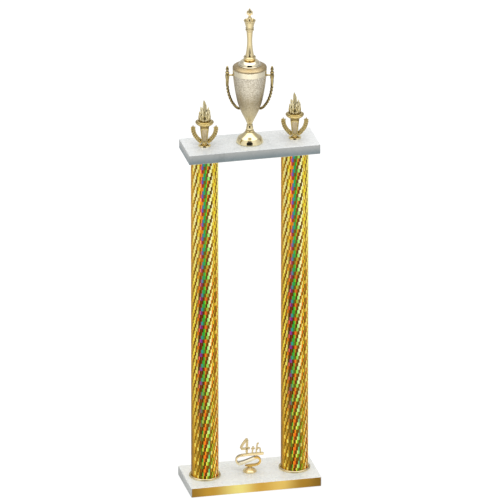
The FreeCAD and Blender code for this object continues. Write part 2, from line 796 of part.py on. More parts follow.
def parts():
    """Every sub-part by name, in the trophy's own frame."""
    made = {
        "base_slab": base_slab(),
        "base_pads": base_pads(),
        "engraving_plate": engraving_plate(),
        "deck_slab": deck_slab(),
        "lower_rod_washers": lower_rod_washers(),
        "lower_rod_nuts": lower_rod_nuts(),
        "upper_rod_nuts": upper_rod_nuts(),
        "cup_bolt_washer": cup_bolt_washer(),
        "cup_bolt": cup_bolt(),
        "place_trim_washer": trim_washer(),
        "place_trim_screw": trim_screw(),
    }
    for side, x in SIDES.items():
        made[side + "_column_tube"] = column_tube(x)
        made[side + "_column_film"] = column_film(x)
        made[side + "_column_foot_cap"] = column_foot_cap(x)
        made[side + "_column_top_plug"] = column_top_plug(x)
        made[side + "_tie_rod"] = tie_rod(x)
    for name, build in (
        ("foot", torch_foot),
        ("wreath", torch_wreath),
        ("shaft", torch_shaft),
        ("dish", torch_dish),
        ("flame", torch_flame),
    ):
        piece = build()
        for side, x in SIDES.items():
            made[side + "_torch_" + name] = placed(piece, DECK_TOP, x)
    for build in (
        cup_foot,
        cup_stem,
        cup_bowl,
        cup_rim_band,
        cup_lid,
        lid_collar,
        cup_bowl_washer,
        cup_bowl_nut,
        king_stud,
        king_stud_nut,
        king_figure,
        king_cross,
    ):
        made[build.__name__] = placed(build(), DECK_TOP)
    for side, sign in (("left", -1), ("right", 1)):
        made["cup_" + side + "_handle"] = placed(cup_handle(sign), DECK_TOP)
    for build in (place_trim_foot, place_trim_ribbon, place_trim_numeral):
        made[build.__name__] = placed(build(), BASE_TOP)
    return made


def main():
    os.makedirs("parts", exist_ok=True)
    for name, shape in parts().items():
        solids = shape.Solids
        sound = shape.isValid() and all(s.Volume > 0 for s in solids)
        print(f"{name:26s} solids {len(solids)}  volume {shape.Volume:10.1f}  {'ok' if sound else 'BAD'}")
        shape.exportStep(f"parts/{name}.step")


main()
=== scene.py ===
import json
import math

import bpy
import bmesh
from mathutils import Matrix, Vector


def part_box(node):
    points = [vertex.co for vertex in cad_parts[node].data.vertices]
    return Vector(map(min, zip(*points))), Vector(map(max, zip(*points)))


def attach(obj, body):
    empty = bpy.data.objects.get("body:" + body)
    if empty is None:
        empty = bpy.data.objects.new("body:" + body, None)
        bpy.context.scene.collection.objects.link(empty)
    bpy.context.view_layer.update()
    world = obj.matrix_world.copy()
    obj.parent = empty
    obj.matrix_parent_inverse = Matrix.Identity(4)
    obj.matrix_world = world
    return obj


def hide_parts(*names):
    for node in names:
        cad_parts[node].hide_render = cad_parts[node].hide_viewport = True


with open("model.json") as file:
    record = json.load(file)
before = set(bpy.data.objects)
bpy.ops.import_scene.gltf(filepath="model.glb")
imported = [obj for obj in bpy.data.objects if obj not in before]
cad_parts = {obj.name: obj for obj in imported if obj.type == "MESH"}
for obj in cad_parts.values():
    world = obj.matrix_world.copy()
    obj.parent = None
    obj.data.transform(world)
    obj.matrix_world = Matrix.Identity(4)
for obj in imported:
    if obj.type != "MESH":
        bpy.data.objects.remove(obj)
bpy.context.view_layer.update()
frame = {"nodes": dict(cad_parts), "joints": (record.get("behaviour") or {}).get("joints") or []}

# The looks of a two-column award trophy. Blender works in metres; outlines and routes below are in
# millimetres, measured from the seat that each piece stands on, and MM turns them into metres.

MM = 0.001
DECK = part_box("deck_slab")[1].z
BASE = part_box("base_slab")[1].z
COLUMN_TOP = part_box("deck_slab")[0].z
SWIVELS = {joint["child"]: Vector(joint["pos_m"]) for joint in frame["joints"]}
SIDES = {"left": SWIVELS["left_torch"].x, "right": SWIVELS["right_torch"].x}
FACING = math.radians(-12.9)


def figure_seat(x, height):
    """The frame of a figure that stands at x and height, turned a little to the left as all are."""
    return Matrix.Translation((x, 0, height)) @ Matrix.Rotation(FACING, 4, "Z")


# ---- curves and meshes


def smooth_run(points, per_span=8):
    """Points along a Catmull-Rom curve through the given ones, both ends included."""
    points = [Vector(p) for p in points]
    spread = [2 * points[0] - points[1], *points, 2 * points[-1] - points[-2]]
    run = []
    for a, b, c, d in zip(spread, spread[1:], spread[2:], spread[3:]):
        for i in range(per_span):
            t = i / per_span
            run.append(
                0.5 * (2 * b + (c - a) * t + (2 * a - 5 * b + 4 * c - d) * t**2
                       + (3 * b - a - 3 * c + d) * t**3)
            )
    return run + [points[-1]]


LEAST_TURN = math.radians(18.0)


def eased(points, radius):
    """The same line with each corner sharper than LEAST_TURN rounded off."""
    line = [points[0]]
    for before, here, after in zip(points, points[1:], points[2:]):
        arrive, leave = here - before, after - here
        if arrive.length < 1e-6 or leave.length < 1e-6:
            continue
        turn = arrive.angle(leave)
        if turn < LEAST_TURN:
            line.append(here)
            continue
        trim = min(radius * math.tan(turn / 2), 0.42 * arrive.length, 0.42 * leave.length)
        start = here - arrive.normalized() * trim
        end = here + leave.normalized() * trim
        for t in (0.0, 0.25, 0.5, 0.75, 1.0):
            line.append(start * (1 - t) ** 2 + here * 2 * t * (1 - t) + end * t**2)
    return line + [points[-1]]


def outline(steps, radius):
    """A turned outline from (r, h) steps: a tuple is a corner, a list is one smooth run."""
    line = []
    for step in steps:
        if isinstance(step, list):
            line += smooth_run([line[-1], *step])[1:]
        else:
            line.append(Vector(step))
    return eased(line, radius)


def make_object(name, mesh_maker, sharp=32.0):
    """Object from a bmesh that mesh_maker fills, smooth except at edges sharper than given."""
    bm = bmesh.new()
    bm.verts.layers.float.new("recess")
    mesh_maker(bm)
    bmesh.ops.remove_doubles(bm, verts=bm.verts, dist=1e-7)
    bmesh.ops.recalc_face_normals(bm, faces=bm.faces)
    mesh = bpy.data.meshes.new(name)
    bm.to_mesh(mesh)
    bm.free()
    mesh.shade_smooth()
    mesh.set_sharp_from_angle(angle=math.radians(sharp))
    obj = bpy.data.objects.new(name, mesh)
    bpy.context.scene.collection.objects.link(obj)
    return obj


def add_vert(bm, seat, place, recess=0.0):
    """A vertex at place, in mm from seat. Recess says how deep in a groove it lies, from 0 to 1; the
    gold is darkened by it as patina and painted shade.
    """
    vert = bm.verts.new(seat @ (Vector(place) * MM))
    vert[bm.verts.layers.float["recess"]] = recess
    return vert


def bridge(bm, lower, upper):
    """Faces between two rings of as many vertices; a ring of one is a point."""
    count = max(len(lower), len(upper))
    for k in range(count):
        corners = []
        for ring, step in ((lower, k), (lower, k + 1), (upper, k + 1), (upper, k)):
            vert = ring[step % len(ring)]
            if vert not in corners:
                corners.append(vert)
        if len(corners) > 2:
            bm.faces.new(corners)


def loft(bm, rings, closed=False):
    """A solid through rings of vertices, capped at both ends or joined end to end."""
    for lower, upper in zip(rings, rings[1:]):
        bridge(bm, lower, upper)
    if closed:
        bridge(bm, rings[-1], rings[0])
        return
    for ring in (rings[0][::-1], rings[-1]):
        if len(ring) > 2:
            bm.faces.new(ring)


def hollows(line):
    """For each point of a turned outline, how deep it lies in an inward corner, from 0 to 1."""
    reach, full_turn = 1.4, 1.1
    along, turns = [0.0], [0.0]
    for a, b in zip(line, line[1:]):
        along.append(along[-1] + (b - a).length)
    for a, b, c in zip(line, line[1:], line[2:]):
        one, two = b - a, c - b
        turns.append(math.atan2(one.x * two.y - one.y * two.x, one.dot(two)))
    turns.append(0.0)
    depths = []
    for here in along:
        near = [(t, abs(s - here)) for t, s in zip(turns, along) if t < 0 and abs(s - here) < reach]
        depths.append(min(1.0, sum(-t * (1 - gap / reach) for t, gap in near) / full_turn))
    return depths


def spin(bm, line, seat, segments):
    """Adds the solid turned about a vertical axis through seat from a line of (r, h) points."""
    rings = []
    for (r, h), depth in zip(line, hollows(line)):
        if r < 1e-4:
            rings.append([add_vert(bm, seat, (0, 0, h), depth)])
            continue
        angles = (2 * math.pi * k / segments for k in range(segments))
        rings.append([add_vert(bm, seat, (r * math.cos(a), r * math.sin(a), h), depth) for a in angles])
    loft(bm, rings, closed=len(rings[0]) > 1)


def turning(seat, *steps, radius=0.25, segments=96):
    """Build function of a turned piece. A hollow piece's outline runs round and back."""
    line = outline(steps, radius)
    return lambda bm: spin(bm, line, seat, segments)


def sweep(bm, route, section, seat, up=Vector((0, 1, 0)), twist=None):
    """Adds a closed tube along route. section(t) gives (side, up) or (side, up, recess) at t."""
    count = len(route)
    rings = []
    for i, point in enumerate(route):
        ahead = (route[min(i + 1, count - 1)] - route[max(i - 1, 0)]).normalized()
        side = ahead.cross(up).normalized()
        over = side.cross(ahead).normalized()
        t = i / (count - 1)
        turn = twist(t) if twist else 0.0
        c, s = math.cos(turn), math.sin(turn)
        ring = []
        for a, b, *depth in section(t):
            place = point + side * (a * c - b * s) + over * (a * s + b * c)
            ring.append(add_vert(bm, seat, place, *depth))
        rings.append(ring)
    loft(bm, rings)


def ellipse(half_width, half_height, count=16):
    """Points of an ellipse."""
    angles = (2 * math.pi * k / count for k in range(count))
    return [(half_width * math.cos(a), half_height * math.sin(a)) for a in angles]


def bar_section(half_width, half_height, corner, per_corner=4):
    """Points of a rectangle with rounded corners."""
    points = []
    for q in range(4):
        cx = (half_width - corner) * (1 if q in (0, 3) else -1)
        cy = (half_height - corner) * (1 if q in (0, 1) else -1)
        for k in range(per_corner + 1):
            a = math.radians(90 * q + 90 * k / per_corner)
            points.append((cx + corner * math.cos(a), cy + corner * math.sin(a)))
    return points


# ---- materials


class Shader:
    """A material under construction: add() makes a node and returns its first used output."""

    def __init__(self, name):
        self.material = bpy.data.materials.new(name)
        self.material.use_nodes = True
        self.tree = self.material.node_tree
        self.bsdf = self.tree.nodes["Principled BSDF"]

    def put(self, socket, value):
        """Links a socket's value or sets it."""
        if isinstance(value, bpy.types.NodeSocket):
            self.tree.links.new(value, socket)
        else:
            socket.default_value = value

    def add(self, kind, output=0, inputs=None, **settings):
        node = self.tree.nodes.new("ShaderNode" + kind)
        for key, value in settings.items():
            setattr(node, key, value)
        for key, value in (inputs or {}).items():
            self.put(node.inputs[key], value)
        return node.outputs[output]

    def place(self):
        """Coordinates on the trophy in its own frame, in metres."""
        return self.add("TexCoord", "Object")

    def split(self, vector):
        node = self.add("SeparateXYZ", inputs={0: vector}).node
        return node.outputs[0], node.outputs[1], node.outputs[2]

    def level(self, under, span):
        """How far above a height each place is, as a share of span."""
        z = self.split(self.place())[2]
        return self.over(self.minus(z, under), span)

    def math(self, operation, a, b=0.0):
        return self.add("Math", inputs={0: a, 1: b}, operation=operation)

    def times(self, a, b):
        return self.math("MULTIPLY", a, b)

    def over(self, a, b):
        return self.math("DIVIDE", a, b)

    def plus(self, a, b):
        return self.math("ADD", a, b)

    def minus(self, a, b):
        return self.math("SUBTRACT", a, b)

    def noise(self, scale, detail=3.0, roughness=0.5, vector=None, output=0):
        inputs = {"Scale": scale, "Detail": detail, "Roughness": roughness}
        inputs["Vector"] = vector if vector is not None else self.place()
        return self.add("TexNoise", output, inputs)

    def ramp(self, share, stops):
        """Colour ramp from (place, colour) stops; a colour is grey or (r, g, b)."""
        node = self.add("ValToRGB", inputs={0: share}).node
        band = node.color_ramp
        band.interpolation = "EASE"
        while len(band.elements) > 1:
            band.elements.remove(band.elements[-1])
        for i, (where, colour) in enumerate(stops):
            stop = band.elements[0] if i == 0 else band.elements.new(where)
            stop.position = where
            rgb = (colour,) * 3 if isinstance(colour, (int, float)) else colour
            stop.color = (*rgb, 1.0)
        return node.outputs[0]

    def mix(self, share, a, b, blend="MIX"):
        node = self.add("Mix", inputs={0: share}, data_type="RGBA", blend_type=blend).node
        for index, value in ((6, a), (7, b)):
            if isinstance(value, tuple) and len(value) == 3:
                value = (*value, 1.0)
            self.put(node.inputs[index], value)
        return node.outputs[2]

    def bump(self, height, distance, strength):
        inputs = {"Height": height, "Distance": distance, "Strength": strength}
        self.put(self.bsdf.inputs["Normal"], self.add("Bump", inputs=inputs))

    def finish(self, **values):
        """Sets the Principled sockets: base_color sets Base Color, and so on."""
        sockets = {socket.name.lower().replace(" ", "_"): socket for socket in self.bsdf.inputs}
        for key, value in values.items():
            socket = sockets[key]
            if socket.type == "RGBA" and isinstance(value, tuple) and len(value) == 3:
                value = (*value, 1.0)
            self.put(socket, value)
        return self.material


class WorldShader(Shader):
    """The same for the world's nodes."""

    def __init__(self, world):
        self.tree = world.node_tree


def srgb(red, green, blue):
    """Linear colour from 0 to 255 display values."""
    return tuple(
        v / 255 / 12.92 if v / 255 < 0.04045 else ((v / 255 + 0.055) / 1.055) ** 2.4
        for v in (red, green, blue)
    )


SLAB_THICKNESS = 0.01905
BASE_UNDER = 0.0016
BOWL_TOP = 0.152
CAP_HEIGHT = 0.0042


def side_shade(s, colour, low, high, under):
    """Painted shade: deepens a colour on upright faces, more towards their foot."""
    normal = s.split(s.add("TexCoord", "Normal"))[2]
    upright = s.ramp(s.math("ABSOLUTE", normal), [(0.35, 1.0), (0.8, 0.0)])
    shade = s.ramp(s.level(under, SLAB_THICKNESS), [(0.05, low), (0.95, high)])
    return s.mix(upright, colour, s.mix(1.0, colour, shade, "MULTIPLY"))


def marble(name, pale, cloud, vein, low, high, under, veined=0.45):
    """Polished marble: soft clouds and long faint veins, with painted shade on its upright faces."""
    s = Shader(name)
    warp = s.noise(9.0, 4.0, 0.6, output=1)
    shift = s.add("VectorMath", inputs={0: warp, "Scale": 0.05}, operation="SCALE")
    place = s.add("VectorMath", inputs={0: s.place(), 1: shift}, operation="ADD")
    clouds = s.ramp(s.noise(13.0, 3.0, 0.5, place), [(0.30, 0.0), (0.74, 1.0)])
    colour = s.mix(clouds, pale, cloud)
    wave = s.noise(6.0, 4.0, 0.5, place)
    ridge = s.math("ABSOLUTE", s.minus(wave, 0.5))
    veins = s.ramp(ridge, [(0.0, 1.0), (0.010, 0.4), (0.035, 0.0)])
    broken = s.times(veins, s.ramp(s.noise(12.0, 2.0), [(0.42, 0.0), (0.66, 1.0)]))
    colour = s.mix(s.times(broken, veined), colour, vein)
    colour = side_shade(s, colour, low, high, under)
    roughness = s.ramp(s.noise(60.0, 3.0), [(0.3, 0.22), (0.7, 0.32)])
    return s.finish(base_color=colour, roughness=roughness, ior=1.5)


def gold(name, bright, deep, roughness, grain=0.0, patina_and_shade=0.75, metal=1.0):
    """Metallised plastic: gold with cloudy depth, uneven polish, recesses and edges darkened with patina
    and painted shade and, if asked, grain.
    """
    s = Shader(name)
    spread, wear = 0.05, 0.35
    cloud = s.noise(55.0, 4.0, 0.6)
    tone = s.ramp(cloud, [(0.32, 0.0), (0.75, 1.0)])
    colour = s.mix(s.times(tone, wear), bright, deep)
    smoothest, roughest = max(roughness - spread, 0.02), roughness + spread
    polish = s.ramp(s.noise(140.0, 3.0), [(0.25, smoothest), (0.8, roughest)])
    if grain:
        speckle = s.noise(620.0, 3.0, 0.75)
        colour = s.mix(
            s.ramp(speckle, [(0.36, 0.55), (0.62, 0.0)]), colour, tuple(v * 0.55 for v in deep))
        s.bump(speckle, 0.0004, grain)
    else:
        s.bump(s.noise(180.0, 2.0), 0.00006, 0.08)
    # Patina and painted shade: the gold darkens where the recess value marks grooves, inward corners and
    # edges.
    recess = s.add("Attribute", "Fac", attribute_name="recess")
    dark = tuple(v * w for v, w in zip(deep, (0.16, 0.13, 0.09)))
    colour = s.mix(s.times(recess, patina_and_shade), colour, dark)
    return s.finish(base_color=colour, roughness=polish, metallic=metal)


def bowl_gold():
    """The bowl's frosted champagne gold; its tones by height are painted reflection, warmer at its foot
    and darker and duller round its waist, where its grain is stronger too.
    """
    s = Shader("gold_bowl")
    level = s.level(DECK, BOWL_TOP)
    # Painted reflection: the tone by height, warmer at the foot, darkest round the waist.
    tone = s.ramp(level, [
        (0.26, srgb(244, 228, 184)), (0.42, srgb(216, 202, 168)), (0.56, srgb(192, 180, 152)),
        (0.76, srgb(240, 232, 212)), (0.95, srgb(248, 240, 222))])
    speckle = s.noise(430.0, 3.0, 0.75)
    # The grain darkens more round the waist, which adds to the painted reflection.
    grain_and_painted_reflection = s.ramp(level, [(0.34, 0.35), (0.52, 0.85)])
    amount = s.times(s.ramp(speckle, [(0.38, 0.66), (0.60, 0.0)]), grain_and_painted_reflection)
    colour = s.mix(amount, tone, srgb(146, 128, 92))
    s.bump(speckle, 0.0005, 0.55)
    return s.finish(base_color=colour, roughness=s.ramp(s.noise(140.0), [(0.25, 0.36), (0.8, 0.44)]),
                    metallic=1.0)


def plain(name, colour, roughness, metallic=0.0, scale=300.0, depth=0.00008):
    """Plain finish with a fine mottle and bump, for the parts inside and underneath."""
    s = Shader(name)
    mottle = s.noise(scale, 4.0, 0.6)
    dark = tuple(v * 0.62 for v in colour)
    tone = s.mix(s.ramp(mottle, [(0.35, 0.0), (0.7, 1.0)]), colour, dark)
    s.bump(mottle, depth, 0.5)
    rough = s.ramp(mottle, [(0.3, roughness * 0.85), (0.7, min(roughness * 1.15, 1.0))])
    return s.finish(base_color=tone, roughness=rough, metallic=metallic)


# Low and high set each marble's painted shade on its upright faces, at their foot and at their top.
MARBLE_BASE = marble("marble_base", srgb(240, 243, 241), srgb(236, 239, 237), srgb(208, 210, 206),
                     (0.56, 0.57, 0.56), (0.68, 0.68, 0.66), BASE_UNDER, 0.2)
MARBLE_DECK = marble("marble_deck", srgb(236, 238, 238), srgb(222, 226, 226), srgb(186, 192, 192),
                     (0.31, 0.37, 0.39), (0.62, 0.62, 0.60), COLUMN_TOP)
POLISHED = gold("gold_polished", srgb(250, 236, 192), srgb(228, 202, 138), 0.09)
PALE = gold("gold_pale", srgb(252, 243, 216), srgb(240, 222, 178), 0.12)
AMBER = gold("gold_amber", srgb(255, 214, 118), srgb(252, 188, 78), 0.14, patina_and_shade=0.6, metal=0.75)
BOWL_GOLD = bowl_gold()
PANEL = gold("gold_panel", srgb(214, 196, 160), srgb(190, 168, 126), 0.34, grain=0.15)
SHOULDER = gold("gold_shoulder", srgb(206, 186, 146), srgb(176, 152, 108), 0.36, grain=0.4)
SATIN = gold("gold_satin", srgb(224, 202, 138), srgb(178, 150, 88), 0.26, patina_and_shade=0.8)
FLAME = gold("gold_flame", srgb(255, 244, 202), srgb(230, 206, 144), 0.17, patina_and_shade=0.56)
ANTIQUE = gold("gold_antique", srgb(212, 192, 134), srgb(128, 104, 56), 0.22, patina_and_shade=0.97)
KING_GOLD = gold("gold_king", srgb(246, 228, 180), srgb(226, 200, 140), 0.12)
TRIM = gold("gold_trim", srgb(252, 232, 180), srgb(236, 200, 128), 0.15, patina_and_shade=0.7)
FOOT_GOLD = gold("gold_foot", srgb(255, 236, 184), srgb(240, 208, 138), 0.22, patina_and_shade=0.5, metal=0.6)
NUMERAL = gold("gold_numeral", srgb(240, 220, 168), srgb(224, 194, 132), 0.30, grain=0.08, patina_and_shade=0.5,
               metal=0.6)
ZINC = plain("zinc", (0.55, 0.56, 0.58), 0.35, metallic=1.0)
BOARD = plain("board", (0.36, 0.26, 0.16), 0.85)
PLUG = plain("plug", (0.03, 0.03, 0.032), 0.5)
FELT = plain("felt", (0.02, 0.07, 0.035), 1.0, scale=1500.0, depth=0.0003)


TUBE_RADIUS = 26.0
FILM_LENGTH = 658.0
CELL_TURN = 360.0 / 68
CELL_HEIGHT = 7.25
DRIFT_BELOW = 0.62
DRIFT_TURN = 9.0

HUES = {
    "cream": srgb(255, 251, 208), "pale": srgb(252, 240, 150), "yellow": srgb(255, 228, 84),
    "gold": srgb(226, 182, 66), "amber": srgb(240, 160, 48), "tan": srgb(190, 150, 56),
    "brown": srgb(130, 94, 26), "dark": srgb(88, 64, 16), "olive": srgb(140, 116, 34),
    "rust": srgb(150, 66, 26), "red": srgb(226, 84, 40), "orange": srgb(250, 132, 36),
    "pink": srgb(242, 116, 134), "purple": srgb(140, 62, 176), "blue": srgb(84, 112, 208),
    "teal": srgb(58, 168, 158), "green": srgb(64, 176, 72), "lime": srgb(140, 206, 56),
    "mint": srgb(166, 232, 150), "lilac": srgb(206, 200, 222), "grey": srgb(112, 112, 92),
}

# One list for each of the four kinds of cell: hues by angle in degrees from the middle of the face.
# Painted light in the hues: the rainbow near the middle is a painted reflection, and most lists run
# darker to the left and paler to the right as painted shade and highlight.
UPPER_CELLS = (
    "-85 dark, -60 tan, -41 brown, -33 dark, -24 rust, -11 amber, 2 rust, 9 grey, 20 brown, 31 dark, "
    "38 gold, 46 tan, 54 brown, 66 brown, 78 pale",
    "-80 gold, -57 gold, -44 tan, -34 brown, -27 yellow, -20 yellow, -15 pink, -10 purple, -5 teal, "
    "1 green, 7 green, 12 lime, 18 cream, 34 cream, 42 yellow, 52 gold, 64 pale, 80 cream",
    "-80 tan, -60 gold, -51 cream, -36 cream, -29 pale, -21 yellow, -16 orange, -12 pink, -8 blue, "
    "-3 teal, 2 green, 7 lime, 12 orange, 18 mint, 24 cream, 33 pale, 40 gold, 48 yellow, 60 pale, "
    "76 cream",
    "-80 brown, -62 tan, -50 pale, -41 cream, -35 gold, -25 pale, -20 rust, -14 amber, -9 rust, "
    "-4 brown, 1 green, 6 olive, 11 rust, 18 rust, 25 brown, 32 dark, 38 yellow, 45 pale, 52 brown, "
    "60 brown, 70 pale",
)
MIDDLE_CELLS = (
    "-85 olive, -60 tan, -46 brown, -31 brown, -23 dark, -14 rust, -6 dark, 1 rust, 8 dark, "
    "20 brown, 28 tan, 37 brown, 45 olive, 53 gold, 61 brown, 72 olive",
    "-80 gold, -52 olive, -37 brown, -30 amber, -25 orange, -20 pink, -15 purple, -11 teal, "
    "-6 green, 0 green, 5 orange, 10 lime, 16 mint, 22 cream, 33 pale, 42 gold, 51 olive, 58 pale, "
    "74 yellow",
    "-80 tan, -62 gold, -47 yellow, -31 pale, -25 olive, -20 rust, -15 dark, -11 purple, -7 teal, "
    "-2 green, 3 lime, 7 red, 12 tan, 17 mint, 22 cream, 28 cream, 34 gold, 38 amber, 45 brown, "
    "54 olive, 66 pale",
    "-80 brown, -60 tan, -48 yellow, -41 pale, -36 brown, -31 pale, -25 dark, -16 dark, -10 rust, "
    "-4 dark, 1 green, 6 rust, 12 brown, 20 brown, 25 rust, 31 amber, 37 orange, 43 yellow, "
    "49 brown, 62 orange, 74 brown",
)

BOTTOM_CELLS = (
    "-85 dark, -70 brown, -50 tan, -40 brown, -20 olive, -10 dark, 0 dark, 10 brown, 20 olive, "
    "30 brown, 45 olive, 60 brown, 75 rust",
    "-80 brown, -68 tan, -58 tan, -50 gold, -42 olive, -34 gold, -22 tan, -15 olive, -9 green, "
    "-3 amber, 2 orange, 6 yellow, 11 pale, 16 mint, 21 teal, 26 olive, 32 lime, 38 gold, 46 pale, "
    "56 cream, 66 orange, 78 pale",
    "-80 brown, -64 olive, -52 tan, -44 pale, -36 tan, -29 pale, -22 olive, -16 rust, -11 green, "
    "-6 yellow, -1 red, 4 orange, 9 olive, 14 lime, 19 mint, 24 olive, 30 pale, 36 olive, 46 gold, "
    "56 orange, 66 gold, 80 yellow",
    "-80 dark, -60 tan, -45 gold, -35 tan, -20 brown, -10 olive, 0 brown, 8 rust, 14 brown, "
    "22 olive, 30 tan, 40 gold, 50 tan, 62 brown, 74 brown",
)


def cell_hues(s, angle, text):
    """Hue of one kind of cell by angle."""
    share = s.over(s.plus(angle, 90.0), 180.0)
    stops = [entry.split() for entry in text.split(", ")]
    return s.ramp(share, [((float(where) + 90) / 180, HUES[hue]) for where, hue in stops])


def film_material():
    """Gold prismatic film: upright cells in four leaning kinds, with a painted rainbow reflection up its
    front and back and painted light paler towards its sides.
    """
    s = Shader("film")
    wrap = s.add("Attribute", "Vector", attribute_name="wrap")
    turn, up, _ = s.split(wrap)
    cell = s.over(turn, CELL_TURN)
    row = s.over(up, CELL_HEIGHT)
    column, level = s.math("FLOOR", cell), s.math("FLOOR", row)
    kind = s.math("FLOORED_MODULO", s.minus(column, level), 4.0)
    within = s.minus(s.math("FRACT", cell), 0.5)
    middle = s.plus(column, s.plus(0.5, s.times(within, 0.5)))
    angle = s.times(middle, CELL_TURN)
    height = s.over(up, FILM_LENGTH)
    drift = s.times(s.minus(DRIFT_BELOW, height), DRIFT_TURN)
    lower_drift = s.math("MAXIMUM", drift, 0.0)
    folded = s.minus(s.math("FLOORED_MODULO", s.plus(angle, 90.0), 180.0), 90.0)
    lower_angle = s.plus(folded, lower_drift)
    middle_share = s.ramp(height, [(0.06, 0.0), (0.42, 1.0)])
    upper_share = s.ramp(height, [(0.52, 0.0), (0.86, 1.0)])
    colour = None
    for index, (upper, middle_set, bottom) in enumerate(zip(UPPER_CELLS, MIDDLE_CELLS, BOTTOM_CELLS)):
        hue = s.mix(middle_share, cell_hues(s, folded, bottom), cell_hues(s, lower_angle, middle_set))
        hue = s.mix(upper_share, hue, cell_hues(s, folded, upper))
        if colour is None:
            colour = hue
        else:
            chosen = s.add("Math", inputs={0: kind, 1: float(index), 2: 0.4}, operation="COMPARE")
            colour = s.mix(chosen, colour, hue)
    number = s.add("CombineXYZ", inputs={0: column, 1: level})
    chance = s.add("TexWhiteNoise", "Value", {"Vector": number}, noise_dimensions="3D")
    tone = s.plus(0.90, s.times(chance, 0.2))
    colour = s.mix(1.0, colour, s.add("CombineXYZ", inputs={0: tone, 1: tone, 2: tone}), "MULTIPLY")
    colour = s.add("Gamma", inputs={0: colour, 1: 1.22})
    # Painted light: the film grows paler towards its sides, away from the middle of its face.
    round_share = s.over(s.math("ABSOLUTE", folded), 90.0)
    painted_light_by_angle = s.ramp(round_share, [
        (0.0, (0.78, 0.79, 0.72)), (0.3, (0.78, 0.80, 0.66)), (0.85, (1.0, 1.0, 0.70))])
    colour = s.mix(1.0, colour, s.mix(1.0, painted_light_by_angle, (1.62, 1.60, 1.50), "MULTIPLY"), "MULTIPLY")
    seam = s.math("ABSOLUTE", s.minus(s.math("FRACT", row), 0.5))
    colour = s.mix(s.ramp(seam, [(0.43, 0.0), (0.5, 0.35)]), colour, HUES["dark"])
    edge = s.ramp(s.math("ABSOLUTE", within), [(0.36, 0.0), (0.5, 1.0)])
    s.bump(edge, 0.00004, 0.4)
    return s.finish(base_color=colour, roughness=s.ramp(chance, [(0.0, 0.30), (1.0, 0.44)]),
                    metallic=0.4, specular_ior_level=0.1)


def plate_material():
    """Gold-coloured plate with painted reflection: darker at its ends and paler in two bands, finely
    brushed.
    """
    s = Shader("gold_plate")
    x, _, _ = s.split(s.place())
    # Painted reflection: the tones along the plate's length.
    share = s.plus(s.over(x, 0.254), 0.5)
    colour = s.ramp(share, [
        (0.0, srgb(166, 124, 44)), (0.15, srgb(206, 160, 60)), (0.37, srgb(250, 234, 140)),
        (0.53, srgb(222, 176, 78)), (0.70, srgb(250, 212, 112)), (0.86, srgb(198, 150, 54)),
        (1.0, srgb(158, 118, 42))])
    stretched = s.add(
        "VectorMath", inputs={0: s.place(), 1: (60.0, 900.0, 5200.0)}, operation="MULTIPLY")
    brushed = s.noise(1.0, 3.0, 0.6, stretched)
    colour = s.mix(s.times(brushed, 0.14), colour, srgb(170, 126, 50))
    s.bump(brushed, 0.00003, 0.15)
    return s.finish(base_color=colour, roughness=s.ramp(brushed, [(0.3, 0.30), (0.7, 0.44)]),
                    metallic=0.5, specular_ior_level=0.1)


def cap_material():
    """Gold cap whose tones by height are painted reflection: a dark foot, pale bands and a darker ring
    round its upper slope.
    """
    s = Shader("gold_cap")
    # Painted reflection: the tones by height.
    tone = s.ramp(s.level(BASE, CAP_HEIGHT), [
        (0.0, srgb(176, 142, 80)), (0.10, srgb(252, 240, 204)), (0.56, srgb(246, 230, 184)),
        (0.66, srgb(134, 112, 64)), (0.76, srgb(244, 232, 196)), (0.96, srgb(214, 196, 148))])
    colour = s.mix(s.times(s.noise(90.0, 4.0, 0.6), 0.2), tone, srgb(190, 160, 100))
    s.bump(s.noise(220.0, 2.0), 0.00005, 0.3)
    return s.finish(base_color=colour, roughness=s.ramp(s.noise(140.0), [(0.3, 0.10), (0.8, 0.24)]),
                    metallic=1.0)


FILM = film_material()
PLATE = plate_material()
CAP_GOLD = cap_material()


# ---- giving pieces their places


def settle(obj, material, body, slot, *nodes):
    """Gives a piece its material and body and hides the CAD nodes that it stands for; slot is not used.
    """
    obj.data.materials.clear()
    obj.data.materials.append(material)
    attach(obj, body)
    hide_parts(*nodes)
    return obj


def repaint(material, *nodes):
    """Gives CAD nodes that stay a new material."""
    for node in nodes:
        obj = frame["nodes"][node]
        obj.data.materials.clear()
        obj.data.materials.append(material)


repaint(MARBLE_BASE, "base_slab")
repaint(MARBLE_DECK, "deck_slab")
repaint(PLATE, "engraving_plate")
repaint(FELT, "base_pads")
repaint(BOARD, "left_column_tube", "right_column_tube")
repaint(PLUG, "left_column_top_plug", "right_column_top_plug")
repaint(
    ZINC, "left_tie_rod", "right_tie_rod", "lower_rod_nuts", "lower_rod_washers", "upper_rod_nuts",
    "cup_bolt", "cup_bolt_washer", "cup_bowl_nut", "cup_bowl_washer", "king_stud", "king_stud_nut",
    "place_trim_screw", "place_trim_washer",
)
repaint(CAP_GOLD, "left_column_foot_cap", "right_column_foot_cap")


# ---- torches


ROD_BORE = 3.235
SHAFT_FOOT = 9.05
SHAFT_LENGTH = 28.35
FLAME_SEAT = 51.0


def torch_part(side, part, style, build, material, slot="torch_gold", sharp=32.0):
    """Makes a piece and settles it on its torch."""
    node = f"{side}_torch_{part}"
    settle(make_object(f"{node}_{style}", build, sharp), material, f"{side}_torch", slot, node)


def torch_foot(side, seat):
    foot = turning(
        seat, (ROD_BORE, 5.6), (ROD_BORE, 3.6), (6.9, 3.6), (6.9, 0.05), (11.8, 0.05), (12.2, 0.4),
        (12.15, 0.8), (11.3, 2.7), [(9.6, 3.1), (7.2, 3.6), (5.2, 4.7)], (4.3, 5.6), radius=0.3,
        segments=72,
    )
    torch_part(side, "foot", "turned", foot, POLISHED, "polished_gold")


